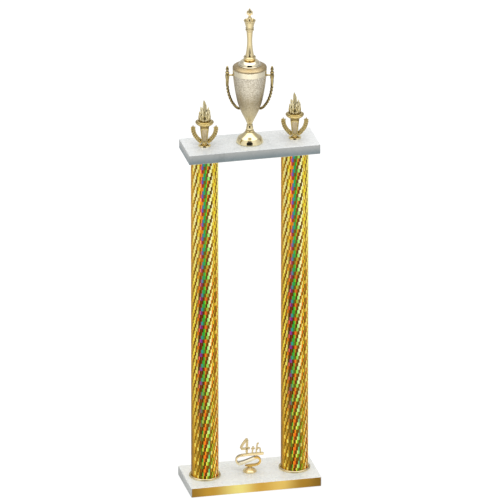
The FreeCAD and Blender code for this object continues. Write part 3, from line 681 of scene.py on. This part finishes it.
def shaft_half(h):
    """Half the shaft's width at a height."""
    return 5.35 + (8.35 - 5.35) * (h - SHAFT_FOOT) / 27.95


def panel_half(h):
    """Half the sunk panel's width at a height: tapered, round at its top, nothing past its ends."""
    past = max(0.0, (h - 32.6) / 3.6)
    return shaft_half(h) * 0.62 * math.sqrt(max(0.0, 1 - past * past)) if 10.4 < h < 36.2 else 0.0


def torch_shaft(side, seat):
    """The shaft: a tapered bar with broad chamfers, front and back sunk where a panel lies."""

    def level(bm, h):
        half, panel = shaft_half(h), max(panel_half(h), 0.1)
        flat, sunk = half * 0.70, 0.75 if panel > 0.3 else 0.0
        # Painted shade, given as recess: deep along the walls of the sunk panel, less on the chamfers,
        # slight on the flats.
        dark = 0.9 if sunk else 0.0
        points = [(-flat, -half, 0.1), (-panel - 0.3, -half, 0.1), (-panel, -half + sunk, dark),
                  (panel, -half + sunk, dark), (panel + 0.3, -half, 0.1), (flat, -half, 0.1),
                  (half, -flat, 0.35), (half, flat, 0.35)]
        points += [(-x, -y, groove) for x, y, groove in points]
        return [add_vert(bm, seat, (x, y, h), groove) for x, y, groove in points]

    def build(bm):
        loft(bm, [level(bm, SHAFT_FOOT + SHAFT_LENGTH * step / 56) for step in range(57)])
        collar = outline([(0, 37.3), (7.6, 37.3), (8.8, 37.8), (8.9, 38.6), (8.2, 39.3), (8.2, 39.98),
                          (0, 39.98)], 0.3)
        spin(bm, collar, seat, 64)

    torch_part(side, "shaft", "panelled", build, SATIN, sharp=24.0)


def torch_panels(side, seat):
    """The dull panels sunk in the shaft's front and back."""

    def build(bm):
        for face in (-1, 1):
            rings = []
            for step in range(50):
                h = 10.5 + 0.52 * step
                panel, out = panel_half(h) - 0.12, shaft_half(h)
                corners = [(-panel, out - 0.45), (panel, out - 0.45), (panel, out - 0.95),
                           (-panel, out - 0.95)]
                rings.append([add_vert(bm, seat, (x, face * y, h), 0.0) for x, y in corners])
            loft(bm, rings)

    torch_part(side, "shaft", "panels", build, PANEL, sharp=24.0)


def torch_dish(side, seat):
    dish = turning(
        seat, (0, 40.0), (8.6, 40.0), (8.9, 40.9), [(11.6, 42.1), (14.4, 44.0)], (14.7, 44.6),
        (15.4, 44.8), [(16.9, 46.6), (17.5, 47.9)], (17.5, 48.7), (16.6, 49.2), (15.6, 49.3),
        (15.3, 49.9), (14.4, 50.1), [(13.2, 50.6), (12.0, 50.9)], (11.4, 49.5), (9.3, 49.5),
        (9.0, 51.1), (0, 51.3),
        radius=0.3, segments=96,
    )
    torch_part(side, "dish", "turned", dish, SATIN)


def flame_lick(bm, seat, base, tip, width, bend, outward, dark=1.0):
    """One tongue of flame: a blade with a groove up its middle, bent to one side near its point."""
    base, tip = Vector(base), Vector(tip)
    along = outward.cross(Vector((0, 0, 1))).normalized()
    rise = tip - base
    route = smooth_run([
        base,
        base + rise * 0.30 + along * bend * 0.50 + outward * 0.9,
        base + rise * 0.62 - along * bend * 0.45 + outward * 0.5,
        base + rise * 0.84 - along * bend * 0.20,
        tip,
    ], 5)

    # The groove, edges and back of each tongue carry painted shade through the recess value; dark scales
    # it.
    def section(t):
        w = max(0.4, width * (1 - t ** 4.4) * (0.86 + 0.2 * math.sin(math.pi * min(1.0, 1.15 * t))))
        d = max(0.2, 2.3 * (1 - t) ** 0.5)
        half = [(0.0, 0.05 * d, 1.0), (0.24 * w, 0.3 * d, 0.75), (0.46 * w, 0.9 * d, 0.05)]
        half += [(0.74 * w, 0.85 * d, 0.0), (w, 0.0, 0.5)]
        back = [(0.6 * w, -0.8 * d, 0.9)]
        ring = half + back + [(-a, b, depth) for a, b, depth in reversed(half[1:] + back)]
        return [(a, b, depth * dark) for a, b, depth in ring]

    sweep(bm, route, section, seat, up=outward)


# Each tongue: bearing in degrees, distance of its foot and its tip from the axis, height of its
# tip, half its width, and its bend.
TONGUES = (
    (184, 7.4, 9.8, 70.0, 2.8, 1.4), (354, 7.4, 9.8, 73.0, 3.0, -1.4),
    (228, 7.8, 8.2, 64.0, 2.8, 1.2), (270, 8.2, 7.4, 63.0, 2.9, 1.0), (312, 7.8, 8.2, 67.0, 2.9, -1.2),
    (50, 7.8, 8.6, 65.0, 3.0, 1.2), (90, 8.0, 8.2, 63.0, 3.0, 1.0), (130, 7.8, 8.6, 64.0, 3.0, -1.2),
    (200, 4.2, 7.6, 81.0, 3.7, 2.4), (340, 4.2, 8.2, 79.5, 3.9, -2.4), (90, 3.6, 5.6, 81.0, 3.8, 2.2),
)


def torch_flame(side, seat):
    """The flame: two rings of broad hollowed tongues round a core, and one tall tongue in the middle."""

    def build(bm):
        core = outline([(0, FLAME_SEAT), (8.6, FLAME_SEAT), (9.4, 53.4),
                        [(8.0, 58.0), (4.6, 66.0), (0.3, 76.0)], (0, 76.0)], 0.3)
        spin(bm, core, seat, 24)
        # Painted shade: the whole core is darkened where it shows between the tongues.
        for vert in bm.verts:
            vert[bm.verts.layers.float["recess"]] = 0.55
        for bearing, inner, outer, height, width, bend in TONGUES:
            turn = math.radians(bearing)
            out = Vector((math.cos(turn), math.sin(turn), 0))
            facing = (out + Vector((0, 1.3 if out.y > 0.5 else -1.3, 0))).normalized()
            base = out * inner + Vector((0, 0, FLAME_SEAT + 0.2))
            tip = out * outer + Vector((0, 0, height))
            flame_lick(bm, seat, base, tip, width, bend, facing)
        front = Vector((0, -1, 0))
        flame_lick(bm, seat, (0.3, -4.6, 54.0), (-1.2, 0, 92.8), 3.9, 2.4, front, 0.45)
        flame_lick(bm, seat, (0.3, 3.0, 54.0), (-1.2, 0.2, 92.2), 3.9, -2.4, -front, 0.45)

    torch_part(side, "flame", "tongues", build, FLAME, "flame_gold", 50.0)


def leaf(bm, seat, base, tip, width, face):
    """A pointed leaf with a raised midrib on both faces."""
    base, tip = Vector(base), Vector(tip)
    route = smooth_run([base, base.lerp(tip, 0.5) + face * 0.35, tip], 4)

    # The leaf's edges carry painted shade through the recess value.
    def section(t):
        w = max(0.08, width * math.sin(math.pi * min(0.97, 0.14 + 0.86 * t)) ** 0.8)
        return [(-w, 0.0, 0.8), (-0.4 * w, 0.45, 0.1), (0.0, 0.75, 0.0), (0.4 * w, 0.45, 0.1),
                (w, 0.0, 0.8), (0.4 * w, -0.45, 0.1), (0.0, -0.75, 0.0), (-0.4 * w, -0.45, 0.1)]

    sweep(bm, route, section, seat, up=face)


def wreath_arm(bm, seat, sign):
    """One laurel branch: a stalk in a smooth curve with leaves in overlapping rows."""
    front = Vector((0, -1, 0))
    points = [(3.4, 7.8), (8.0, 9.8), (12.2, 13.7), (16.1, 18.6), (19.2, 24.2), (21.1, 30.6),
              (21.6, 36.6)]
    route = smooth_run([Vector((sign * x, 0, h)) for x, h in points], 6)
    # The stalk is darkened all round as painted shade.
    sweep(bm, route, lambda t: [(a, b, 0.8) for a, b in ellipse(2.1 - 0.6 * t, 1.3 - 0.4 * t, 8)], seat)
    count = 9
    for k in range(count):
        spot = (k + 0.6) / count * (len(route) - 2)
        i = int(spot)
        here = route[i].lerp(route[i + 1], spot - i)
        ahead = (route[i + 1] - route[i]).normalized()
        across = ahead.cross(front).normalized()
        for lean in (-1, 1):
            start = here + across * lean * 1.2
            leaf(bm, seat, start, start + ahead * 5.0 + across * lean * 2.6, 2.0, front)
        for face in (front, -front):
            start = here + face * 0.8
            leaf(bm, seat, start, start + ahead * 5.2 + face * 0.5, 1.6, face)
    end, ahead = route[-1], (route[-1] - route[-3]).normalized()
    leaf(bm, seat, end, end + ahead * 5.2, 1.7, front)


def torch_wreath(side, seat):
    def build(bm):
        hub = outline([(ROD_BORE, 5.65), (4.3, 5.65), (4.75, 6.4), (4.75, 8.2), (4.3, 8.98),
                       (ROD_BORE, 8.98)], 0.3)
        spin(bm, hub, seat, 48)
        for sign in (-1, 1):
            wreath_arm(bm, seat, sign)

    torch_part(side, "wreath", "leaves", build, SATIN)


for side, column_x in SIDES.items():
    place = figure_seat(column_x, DECK)
    for make in (torch_foot, torch_shaft, torch_panels, torch_dish, torch_flame, torch_wreath):
        make(side, place)


# ---- cup and king


CUP = figure_seat(0, DECK)
KNUCKLE = 42.3
CROSS_MIDDLE = 262.4
BOWL = [(7.8, 44.2), (11.6, 52.0), (15.4, 59.9), (18.6, 67.8), (21.3, 75.6), (23.7, 83.5),
        (27.6, 103.0), (30.0, 119.0)]


def cup_piece(node, material, slot, *steps, body="cup"):
    """Makes a turned piece and settles it on the cup or the king."""
    build = turning(CUP, *steps, segments=144)
    settle(make_object(node + "_turned", build), material, body, slot, node)


def cup_turnings():
    """The cup's turned pieces, from its foot up to the collar under the king."""
    cup_piece(
        "cup_foot", POLISHED, "polished_gold",
        (ROD_BORE, 21.98), (ROD_BORE, 17.2), (12.5, 13.0), (19.8, 9.6), (22.2, 6.0), (23.8, 1.8),
        (23.8, 0.05), (24.9, 0.05), (25.6, 0.7), (25.6, 1.8), [(24.4, 6.0), (22.0, 10.0)],
        (21.4, 10.2), (21.0, 10.7), [(18.8, 12.2), (15.0, 14.9), (11.4, 18.2), (9.0, 20.7)],
        (8.5, 21.4), (8.5, 21.98),
    )
    cup_piece(
        "cup_stem", POLISHED, "polished_gold",
        (ROD_BORE, 39.38), (ROD_BORE, 22.02), (7.4, 22.02), [(8.1, 23.2), (7.6, 24.5)], (6.5, 24.9),
        [(6.9, 27.4), (6.5, 31.0), (5.5, 34.2)], (5.9, 34.8), (5.9, 35.6), (5.1, 36.0),
        [(5.0, 37.2), (5.8, 39.38)],
    )
    cup_piece(
        "cup_bowl", BOWL_GOLD, "frosted_gold",
        (ROD_BORE, 39.42), (5.8, 39.42), (6.6, 41.2), [*BOWL, (31.5, 133.0)], (31.55, 150.95),
        (30.25, 150.95), (30.2, 133.0), [(r - 1.3, h) for r, h in reversed(BOWL[1:])], (6.7, 44.5),
        (ROD_BORE, 44.5),
    )
    cup_piece(
        "cup_rim_band", PALE, "polished_gold",
        (31.62, 140.05), (32.1, 140.05), (32.5, 140.5), (32.5, 149.5), (32.1, 149.95), (31.62, 149.95),
    )
    cup_piece(
        "cup_lid", SHOULDER, "frosted_gold",
        (2.5, 157.5), (2.5, 155.6), (21.0, 155.6), (26.6, 154.4), (28.8, 152.4), (28.8, 145.0),
        (30.1, 145.0), (30.1, 151.02), (31.9, 151.02), [(32.35, 151.6), (32.4, 152.7)],
        (31.9, 153.6), (31.2, 154.1), [(29.0, 155.4), (25.4, 156.7)], (22.4, 157.3), (21.9, 157.47),
    )
    cup_piece(
        "lid_collar", PALE, "polished_gold",
        (2.5, 163.45), (2.5, 157.53), (21.5, 157.53), [(22.1, 158.3), (21.4, 159.2)], (20.2, 159.5),
        [(19.7, 161.0), (18.4, 163.4), (15.2, 166.2), (13.0, 166.95)], [(11.9, 166.6), (11.0, 164.9)],
        (10.2, 163.45),
    )


def handle_route(sign):
    """Centreline of a handle, from its knuckle down and in to the bowl."""
    points = [(KNUCKLE, 134.0), (KNUCKLE, 126.0), (42.25, 118.0), (41.2, 106.0), (38.4, 93.5),
              (33.8, 82.0), (28.8, 74.4), (25.6, 70.6), (21.8, 68.3), (19.4, 67.9)]
    return smooth_run([Vector((sign * x, 0, h)) for x, h in points], 22)


def rope_section(t):
    """Rope of three strands that grows out of a smooth calyx and thins where it meets the bowl."""
    rope = min(1.0, max(0.0, (t - 0.16) / 0.10)) * min(1.0, (1 - t) / 0.08)
    size = 3.2 - 0.25 * min(1.0, t / 0.3) - 0.4 * max(0.0, (t - 0.85) / 0.15)
    # The grooves between the strands get patina and painted shade through the recess value.
    points = []
    for k in range(24):
        a = 2 * math.pi * k / 24
        wave = 0.5 + 0.5 * math.cos(3 * a)
        swell = (1 - rope) * 0.10 + rope * 0.30
        r = size * (1 - swell * (1 - wave))
        points.append((r * math.cos(a), r * math.sin(a), (0.7 + 0.3 * rope) * (1 - wave) ** 1.2))
    return points


def handle_bud(bm, seat, sign):
    """Calyx, ring and leafy bud standing on the handle's knuckle."""
    line = outline(
        [(0, 126.0), (2.8, 126.0), [(3.5, 130.5), (3.9, 135.6), (3.2, 139.4)], (3.2, 140.2),
         (4.0, 141.0), (4.0, 142.2), (2.7, 143.0), [(2.4, 144.6), (3.2, 148.0), (2.4, 151.0)],
         (2.1, 151.8), [(2.0, 152.8), (0.4, 154.9)], (0, 154.95)], 0.2)
    spot = seat @ Matrix.Translation(Vector((sign * KNUCKLE, 0, 0)) * MM)
    rings = []
    for (r, h), depth in zip(line, hollows(line)):
        if r < 1e-4:
            rings.append([add_vert(bm, spot, (0, 0, h), depth)])
            continue
        ring = []
        for k in range(48):
            a = 2 * math.pi * k / 48
            flute = 0.5 - 0.5 * math.cos(6 * a)
            fluted = 1.0 if 143.6 < h < 151.4 or 127.5 < h < 139.6 else 0.0
            size = r * (1 - 0.18 * flute * fluted)
            # The flutes' grooves get patina and painted shade through the recess value.
            groove = max(depth, 0.9 * flute ** 2 * fluted)
            ring.append(add_vert(bm, spot, (size * math.cos(a), size * math.sin(a), h), groove))
        rings.append(ring)
    loft(bm, rings)


def cup_handle(side, sign):
    def twist(t):
        return sign * 2 * math.pi * (0.5 * t + 5.4 * max(0.0, t - 0.25))

    def build(bm):
        sweep(bm, handle_route(sign), rope_section, CUP, twist=twist)
        handle_bud(bm, CUP, sign)
        rod = [Vector((sign * x, 0, 136.0)) for x in (39.6, 37.0, 34.6, 33.4, 32.6, 30.4)]
        sizes = (1.9, 1.6, 1.5, 1.6, 2.3, 1.5)
        sweep(bm, rod, lambda t: ellipse(sizes[round(t * 5)], sizes[round(t * 5)], 20), CUP)
        peg = [Vector((sign * x, 0, h)) for x, h in ((20.6, 68.1), (17.4, 66.9))]
        sweep(bm, peg, lambda t: ellipse(1.85, 1.85, 16), CUP)

    settle(make_object(f"cup_{side}_handle_rope", build), ANTIQUE, "cup", "handle_gold",
           f"cup_{side}_handle")


def king_turning():
    cup_piece(
        "king_figure", KING_GOLD, "king_gold",
        (2.46, 176.5), (2.46, 163.52), (9.4, 163.52), [(9.6, 166.5), (10.3, 170.4)], (10.8, 171.6),
        (11.6, 172.3), (11.75, 173.6), (11.0, 174.4), (9.6, 174.6), (9.2, 175.4), (8.6, 175.8),
        [(7.8, 178.6), (6.3, 187.0), (5.2, 198.0), (4.9, 208.0), (5.5, 218.0), (6.4, 226.4)],
        (7.9, 227.6), (8.1, 229.2), (7.5, 230.0), (6.5, 230.3), (6.4, 231.2), (7.8, 231.8),
        (8.0, 232.8), (7.1, 233.5), [(7.9, 236.2), (8.9, 240.4), (10.0, 244.2), (11.5, 247.2)],
        (11.2, 247.9), (10.3, 247.6), [(8.2, 245.6), (6.6, 245.6), (5.4, 247.0)], (4.8, 248.6),
        (4.4, 250.95), (0, 250.95), (0, 176.5),
        body="king",
    )


def king_finial():
    """The cross: a waisted neck and four splayed arms, the upper one pointed, softly rounded."""
    points = [
        (2.2, 256.6), (2.2, 258.6), (3.2, 259.6), (5.2, 259.4), (5.8, 261.4), (5.8, 264.6), (4.9, 266.6),
        (2.8, 267.4), (1.9, 269.0), (1.3, 270.8), (0.5, 271.9),
    ]
    half = eased([Vector(p) for p in points], 0.5)
    edge = half + [Vector((-p.x, p.y)) for p in reversed(half)]

    def build(bm):
        neck = outline([(0, 251.0), (4.3, 251.0), (4.5, 251.8), (3.8, 252.8),
                        [(2.4, 255.0), (2.3, 257.4)], (0, 257.6)], 0.3)
        spin(bm, neck, CUP, 48)
        rings = []
        for y, inset in ((-2.2, 0.6), (-1.9, 0.2), (-1.2, 0.0), (1.2, 0.0), (1.9, 0.2), (2.2, 0.6)):
            ring = []
            for p in edge:
                pull = Vector((p.x, p.y - CROSS_MIDDLE))
                near = pull * (1 - inset / max(pull.length, 0.8))
                ring.append(add_vert(bm, CUP, (near.x, y, near.y + CROSS_MIDDLE), 0.0))
            rings.append(ring)
        loft(bm, rings)
        for face in (-1, 1):
            rings = []
            # The ring where each boss meets the cross gets patina and painted shade.
            for size, out, groove in ((1.7, 2.15, 0.9), (0.9, 2.7, 0.0)):
                circle = ellipse(size, size)
                rings.append([add_vert(bm, CUP, (x, face * out, CROSS_MIDDLE + z), groove)
                              for x, z in circle])
            loft(bm, rings)

    settle(make_object("king_cross_splayed", build, sharp=45.0), KING_GOLD, "king", "king_gold",
           "king_cross")


cup_turnings()
cup_handle("left", -1)
cup_handle("right", 1)
king_turning()
king_finial()


# ---- placing trim


TRIM_SEAT = figure_seat(0, BASE)


def trim_part(part, style, build, material):
    """Makes a piece and settles it on the placing trim."""
    node = f"place_trim_{part}"
    settle(make_object(f"{node}_{style}", build), material, "place_trim", "trim_gold", node)


def band(bm, points, thickness, depth, corner=0.6, pointed=0.0, edge=0.6):
    """Adds a ribbon on edge along points (x, h), its edges darkened as painted shade, its ends rounded
    or pointed.
    """
    route = smooth_run([Vector((x, 0, h)) for x, h in points], 8)

    def section(t):
        ends = min(t, 1 - t) * (len(route) - 1) * 0.8
        share = min(1.0, 0.35 + ends) if not pointed else min(1.0, 0.25 + min(t, 1 - t) / pointed)
        tall = 0.8 + 0.2 * share
        points = []
        for a, b in bar_section(thickness / 2, depth / 2, corner, 3):
            points.append((a * share, b * tall, edge if abs(a) > 0.45 * thickness else 0.0))
        return points

    sweep(bm, route, section, TRIM_SEAT)


def trim_foot():
    foot = turning(
        TRIM_SEAT, (2.46, 7.0), (2.46, 0.05), (12.8, 0.05), (13.3, 0.6), (13.3, 1.9), (12.7, 2.4),
        (12.3, 3.2), [(10.4, 4.9), (8.0, 6.0)], (7.4, 6.1), (6.6, 6.8), [(5.0, 7.6), (4.4, 8.6)],
        (4.8, 9.98), (0, 9.98), (0, 7.0), radius=0.3,
    )
    trim_part("foot", "turned", foot, FOOT_GOLD)


def trim_ribbon():
    """One folded ribbon: bar with the left curl, pale band in front, amber right curl."""

    def bar(bm):
        band(bm, [(26.9, 37.2), (19.0, 36.6), (2.0, 35.2), (-17.5, 32.8)], 4.9, 5.0, 0.9, edge=0.35)
        band(bm, [(-12.0, 33.3), (-18.8, 32.0), (-24.0, 28.8), (-25.8, 24.0), (-24.4, 19.2),
                  (-21.3, 15.9)], 3.2, 8.6, 1.0)

    def front(bm):
        band(bm, [(-22.4, 15.3), (-12.0, 18.8), (-1.0, 23.4), (12.0, 29.4)], 6.8, 6.2, 0.7, edge=0.95)

    def curl(bm):
        band(bm, [(7.0, 29.0), (14.0, 29.2), (18.4, 26.8), (20.1, 22.2), (18.0, 17.4), (13.0, 14.3),
                  (4.0, 12.6), (-9.3, 11.8)], 3.4, 8.6, 1.0, pointed=0.12)

    for part, build, material in (("bar", bar, TRIM), ("front", front, PALE), ("curl", curl, AMBER)):
        trim_part("ribbon", part, build, material)


def trim_numeral():
    """A plain 4 with th beside it, each stroke a rounded bar."""
    strokes = (
        ([(-5.8, 37.6), (-5.3, 52.0), (-4.6, 66.6)], 4.7),
        ([(-4.4, 67.6), (-9.4, 61.6), (-14.8, 53.0), (-17.0, 47.0)], 4.9),
        ([(-17.0, 46.0), (-8.0, 46.8), (0.6, 48.2)], 4.3),
        ([(4.9, 37.6), (5.7, 44.6), (6.7, 52.0)], 2.9),
        ([(2.6, 46.6), (6.2, 47.0), (10.2, 47.6)], 2.9),
        ([(12.4, 38.0), (13.2, 47.6), (14.6, 56.4), (17.2, 58.4)], 3.0),
        ([(13.4, 45.6), (16.6, 48.2), (19.6, 47.2), (20.2, 42.8), (20.2, 38.4)], 2.9),
    )

    def build(bm):
        for points, width in strokes:
            band(bm, points, width, 3.4, 0.5, edge=0.12)

    trim_part("numeral", "bars", build, NUMERAL)


trim_foot()
trim_ribbon()
trim_numeral()


# ---- column film


def film_sleeve(side):
    """The film: one sheet wrapped round the tube, its end lapped over its start at the back."""
    axis = Vector((SIDES[side], 0, 0))
    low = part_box(side + "_column_film")[0].z
    sheet, lap, steps = 0.13, 7.0, 184
    start, face = 90.0, 257.0  # bearings of the sheet's start and of the middle of its face

    def build(bm):
        wrap = bm.verts.layers.float_vector.new("wrap")
        rings = []
        for k in range(steps + 1):
            turn = (360.0 + lap) * k / steps
            lift = sheet * 1.15 * min(1.0, max(0.0, (turn - 360.0 + lap) / lap * 2))
            angle = math.radians(start + turn)
            ring = []
            for r, z in ((0, low), (0, COLUMN_TOP), (sheet, COLUMN_TOP), (sheet, low)):
                out = Vector((math.cos(angle), math.sin(angle), 0)) * (TUBE_RADIUS + lift + r) * MM
                vert = bm.verts.new(axis + out + Vector((0, 0, z)))
                vert[wrap] = (start + turn - face, (z - low) / MM, 0)
                ring.append(vert)
            rings.append(ring)
        loft(bm, rings)

    return settle(make_object(side + "_film_sleeve", build), FILM, "root", "foil_film",
                  side + "_column_film")


for side in SIDES:
    film_sleeve(side)


# ---- floor, light and camera


def off_front(s, x, y):
    """How far round from the way that the figures face a direction lies, in radians."""
    bearing = s.math("ARCTAN2", x, s.times(y, -1.0))
    return s.math("ABSOLUTE", s.minus(bearing, FACING))


FLOOR_GLOW = 0.86
SKY_GLOW = 2.3
GAP_HALF_WIDTH = math.radians(29)
GAP_CENTRE = math.radians(22)
GAP_HALF_HEIGHT = math.radians(23.5)


def add_floor():
    """Pale floor that glows, evenly white to the camera; the glow that it gives the gold is dimmer at
    the sides and far out in front.
    """
    mesh = bpy.data.meshes.new("floor")
    reach = 60.0
    corners = [(-reach, -reach, 0), (reach, -reach, 0), (reach, reach, 0), (-reach, reach, 0)]
    mesh.from_pydata(corners, [], [(0, 1, 2, 3)])
    floor = bpy.data.objects.new("floor", mesh)
    bpy.context.scene.collection.objects.link(floor)
    s = Shader("floor")
    x, y, _ = s.split(s.place())
    share = s.over(off_front(s, x, y), math.pi)
    round_about = s.ramp(
        share, [(0.0, 1.0), (0.2, 0.9), (0.4, 0.55), (0.6, 0.40), (0.8, 0.5), (1.0, 0.45)])
    reach_out = s.add("VectorMath", "Value", {0: s.place()}, operation="LENGTH")
    far = s.times(s.ramp(s.over(reach_out, 10.0), [(0.34, 0.0), (0.6, 0.95)]),
                 s.ramp(share, [(0.16, 1.0), (0.25, 0.0)]))
    thrown = s.times(round_about, s.minus(1.0, far))
    seen = s.add("LightPath", "Is Camera Ray")
    strength = s.times(s.math("MAXIMUM", thrown, seen), FLOOR_GLOW)
    mesh.materials.append(s.finish(base_color=(0.2, 0.2, 0.2), roughness=1.0, specular_ior_level=0.0,
                                   emission_color=(1.0, 1.0, 1.0), emission_strength=strength))


VIEW_ELEVATION = math.radians(22.8)
VIEW_DISTANCE = 36.0
VIEW_SPAN = 0.948
VIEW_AIM = Vector((0.0006, 0.0, 0.4776))


def add_camera():
    """A long lens a little to the left and above, as in a catalogue picture."""
    data = bpy.data.cameras.new("camera")
    data.sensor_width = 36.0
    data.lens = data.sensor_width * VIEW_DISTANCE / VIEW_SPAN
    data.clip_start, data.clip_end = 5.0, 120.0
    camera = bpy.data.objects.new("camera", data)
    a, e = FACING, VIEW_ELEVATION
    back = Vector((math.sin(a) * math.cos(e), -math.cos(a) * math.cos(e), math.sin(e)))
    camera.location = VIEW_AIM + back * VIEW_DISTANCE
    camera.rotation_euler = (-back).to_track_quat("-Z", "Y").to_euler()
    bpy.context.scene.collection.objects.link(camera)
    bpy.context.scene.camera = camera


def add_world():
    """A studio sky: bright overhead, dimmer low down, with a dark gap in front of the trophy."""
    world = bpy.data.worlds.new("studio")
    world.use_nodes = True
    bpy.context.scene.world = world
    s = WorldShader(world)
    x, y, z = s.split(s.add("TexCoord", "Generated"))
    away = off_front(s, x, y)
    rise = s.math("ARCSINE", z)
    sky = s.ramp(z, [(0.0, 0.46), (0.30, 0.46), (0.66, 0.48), (0.84, 0.78), (0.95, 0.94)])
    sides = s.ramp(s.over(away, math.pi),
                   [(0.0, 1.0), (0.25, 0.85), (0.5, 0.58), (0.75, 0.42), (1.0, 0.6)])
    high = s.ramp(z, [(0.55, 0.0), (0.85, 1.0)])
    glow = s.times(sky, s.math("MAXIMUM", sides, high))
    gap_x = s.over(away, GAP_HALF_WIDTH)
    gap_y = s.over(s.minus(rise, GAP_CENTRE), GAP_HALF_HEIGHT)
    gap = s.plus(s.math("POWER", gap_x, 4.0), s.math("POWER", s.math("ABSOLUTE", gap_y), 4.0))
    open_sky = s.ramp(gap, [(0.7, 0.02), (1.0, 1.0)])
    strength = s.times(s.times(glow, open_sky), SKY_GLOW)
    background = world.node_tree.nodes["Background"]
    background.inputs["Color"].default_value = (1, 1, 1, 1)
    s.put(background.inputs["Strength"], strength)


add_floor()
add_world()
add_camera()
bpy.context.scene.view_settings.view_transform = "Standard"
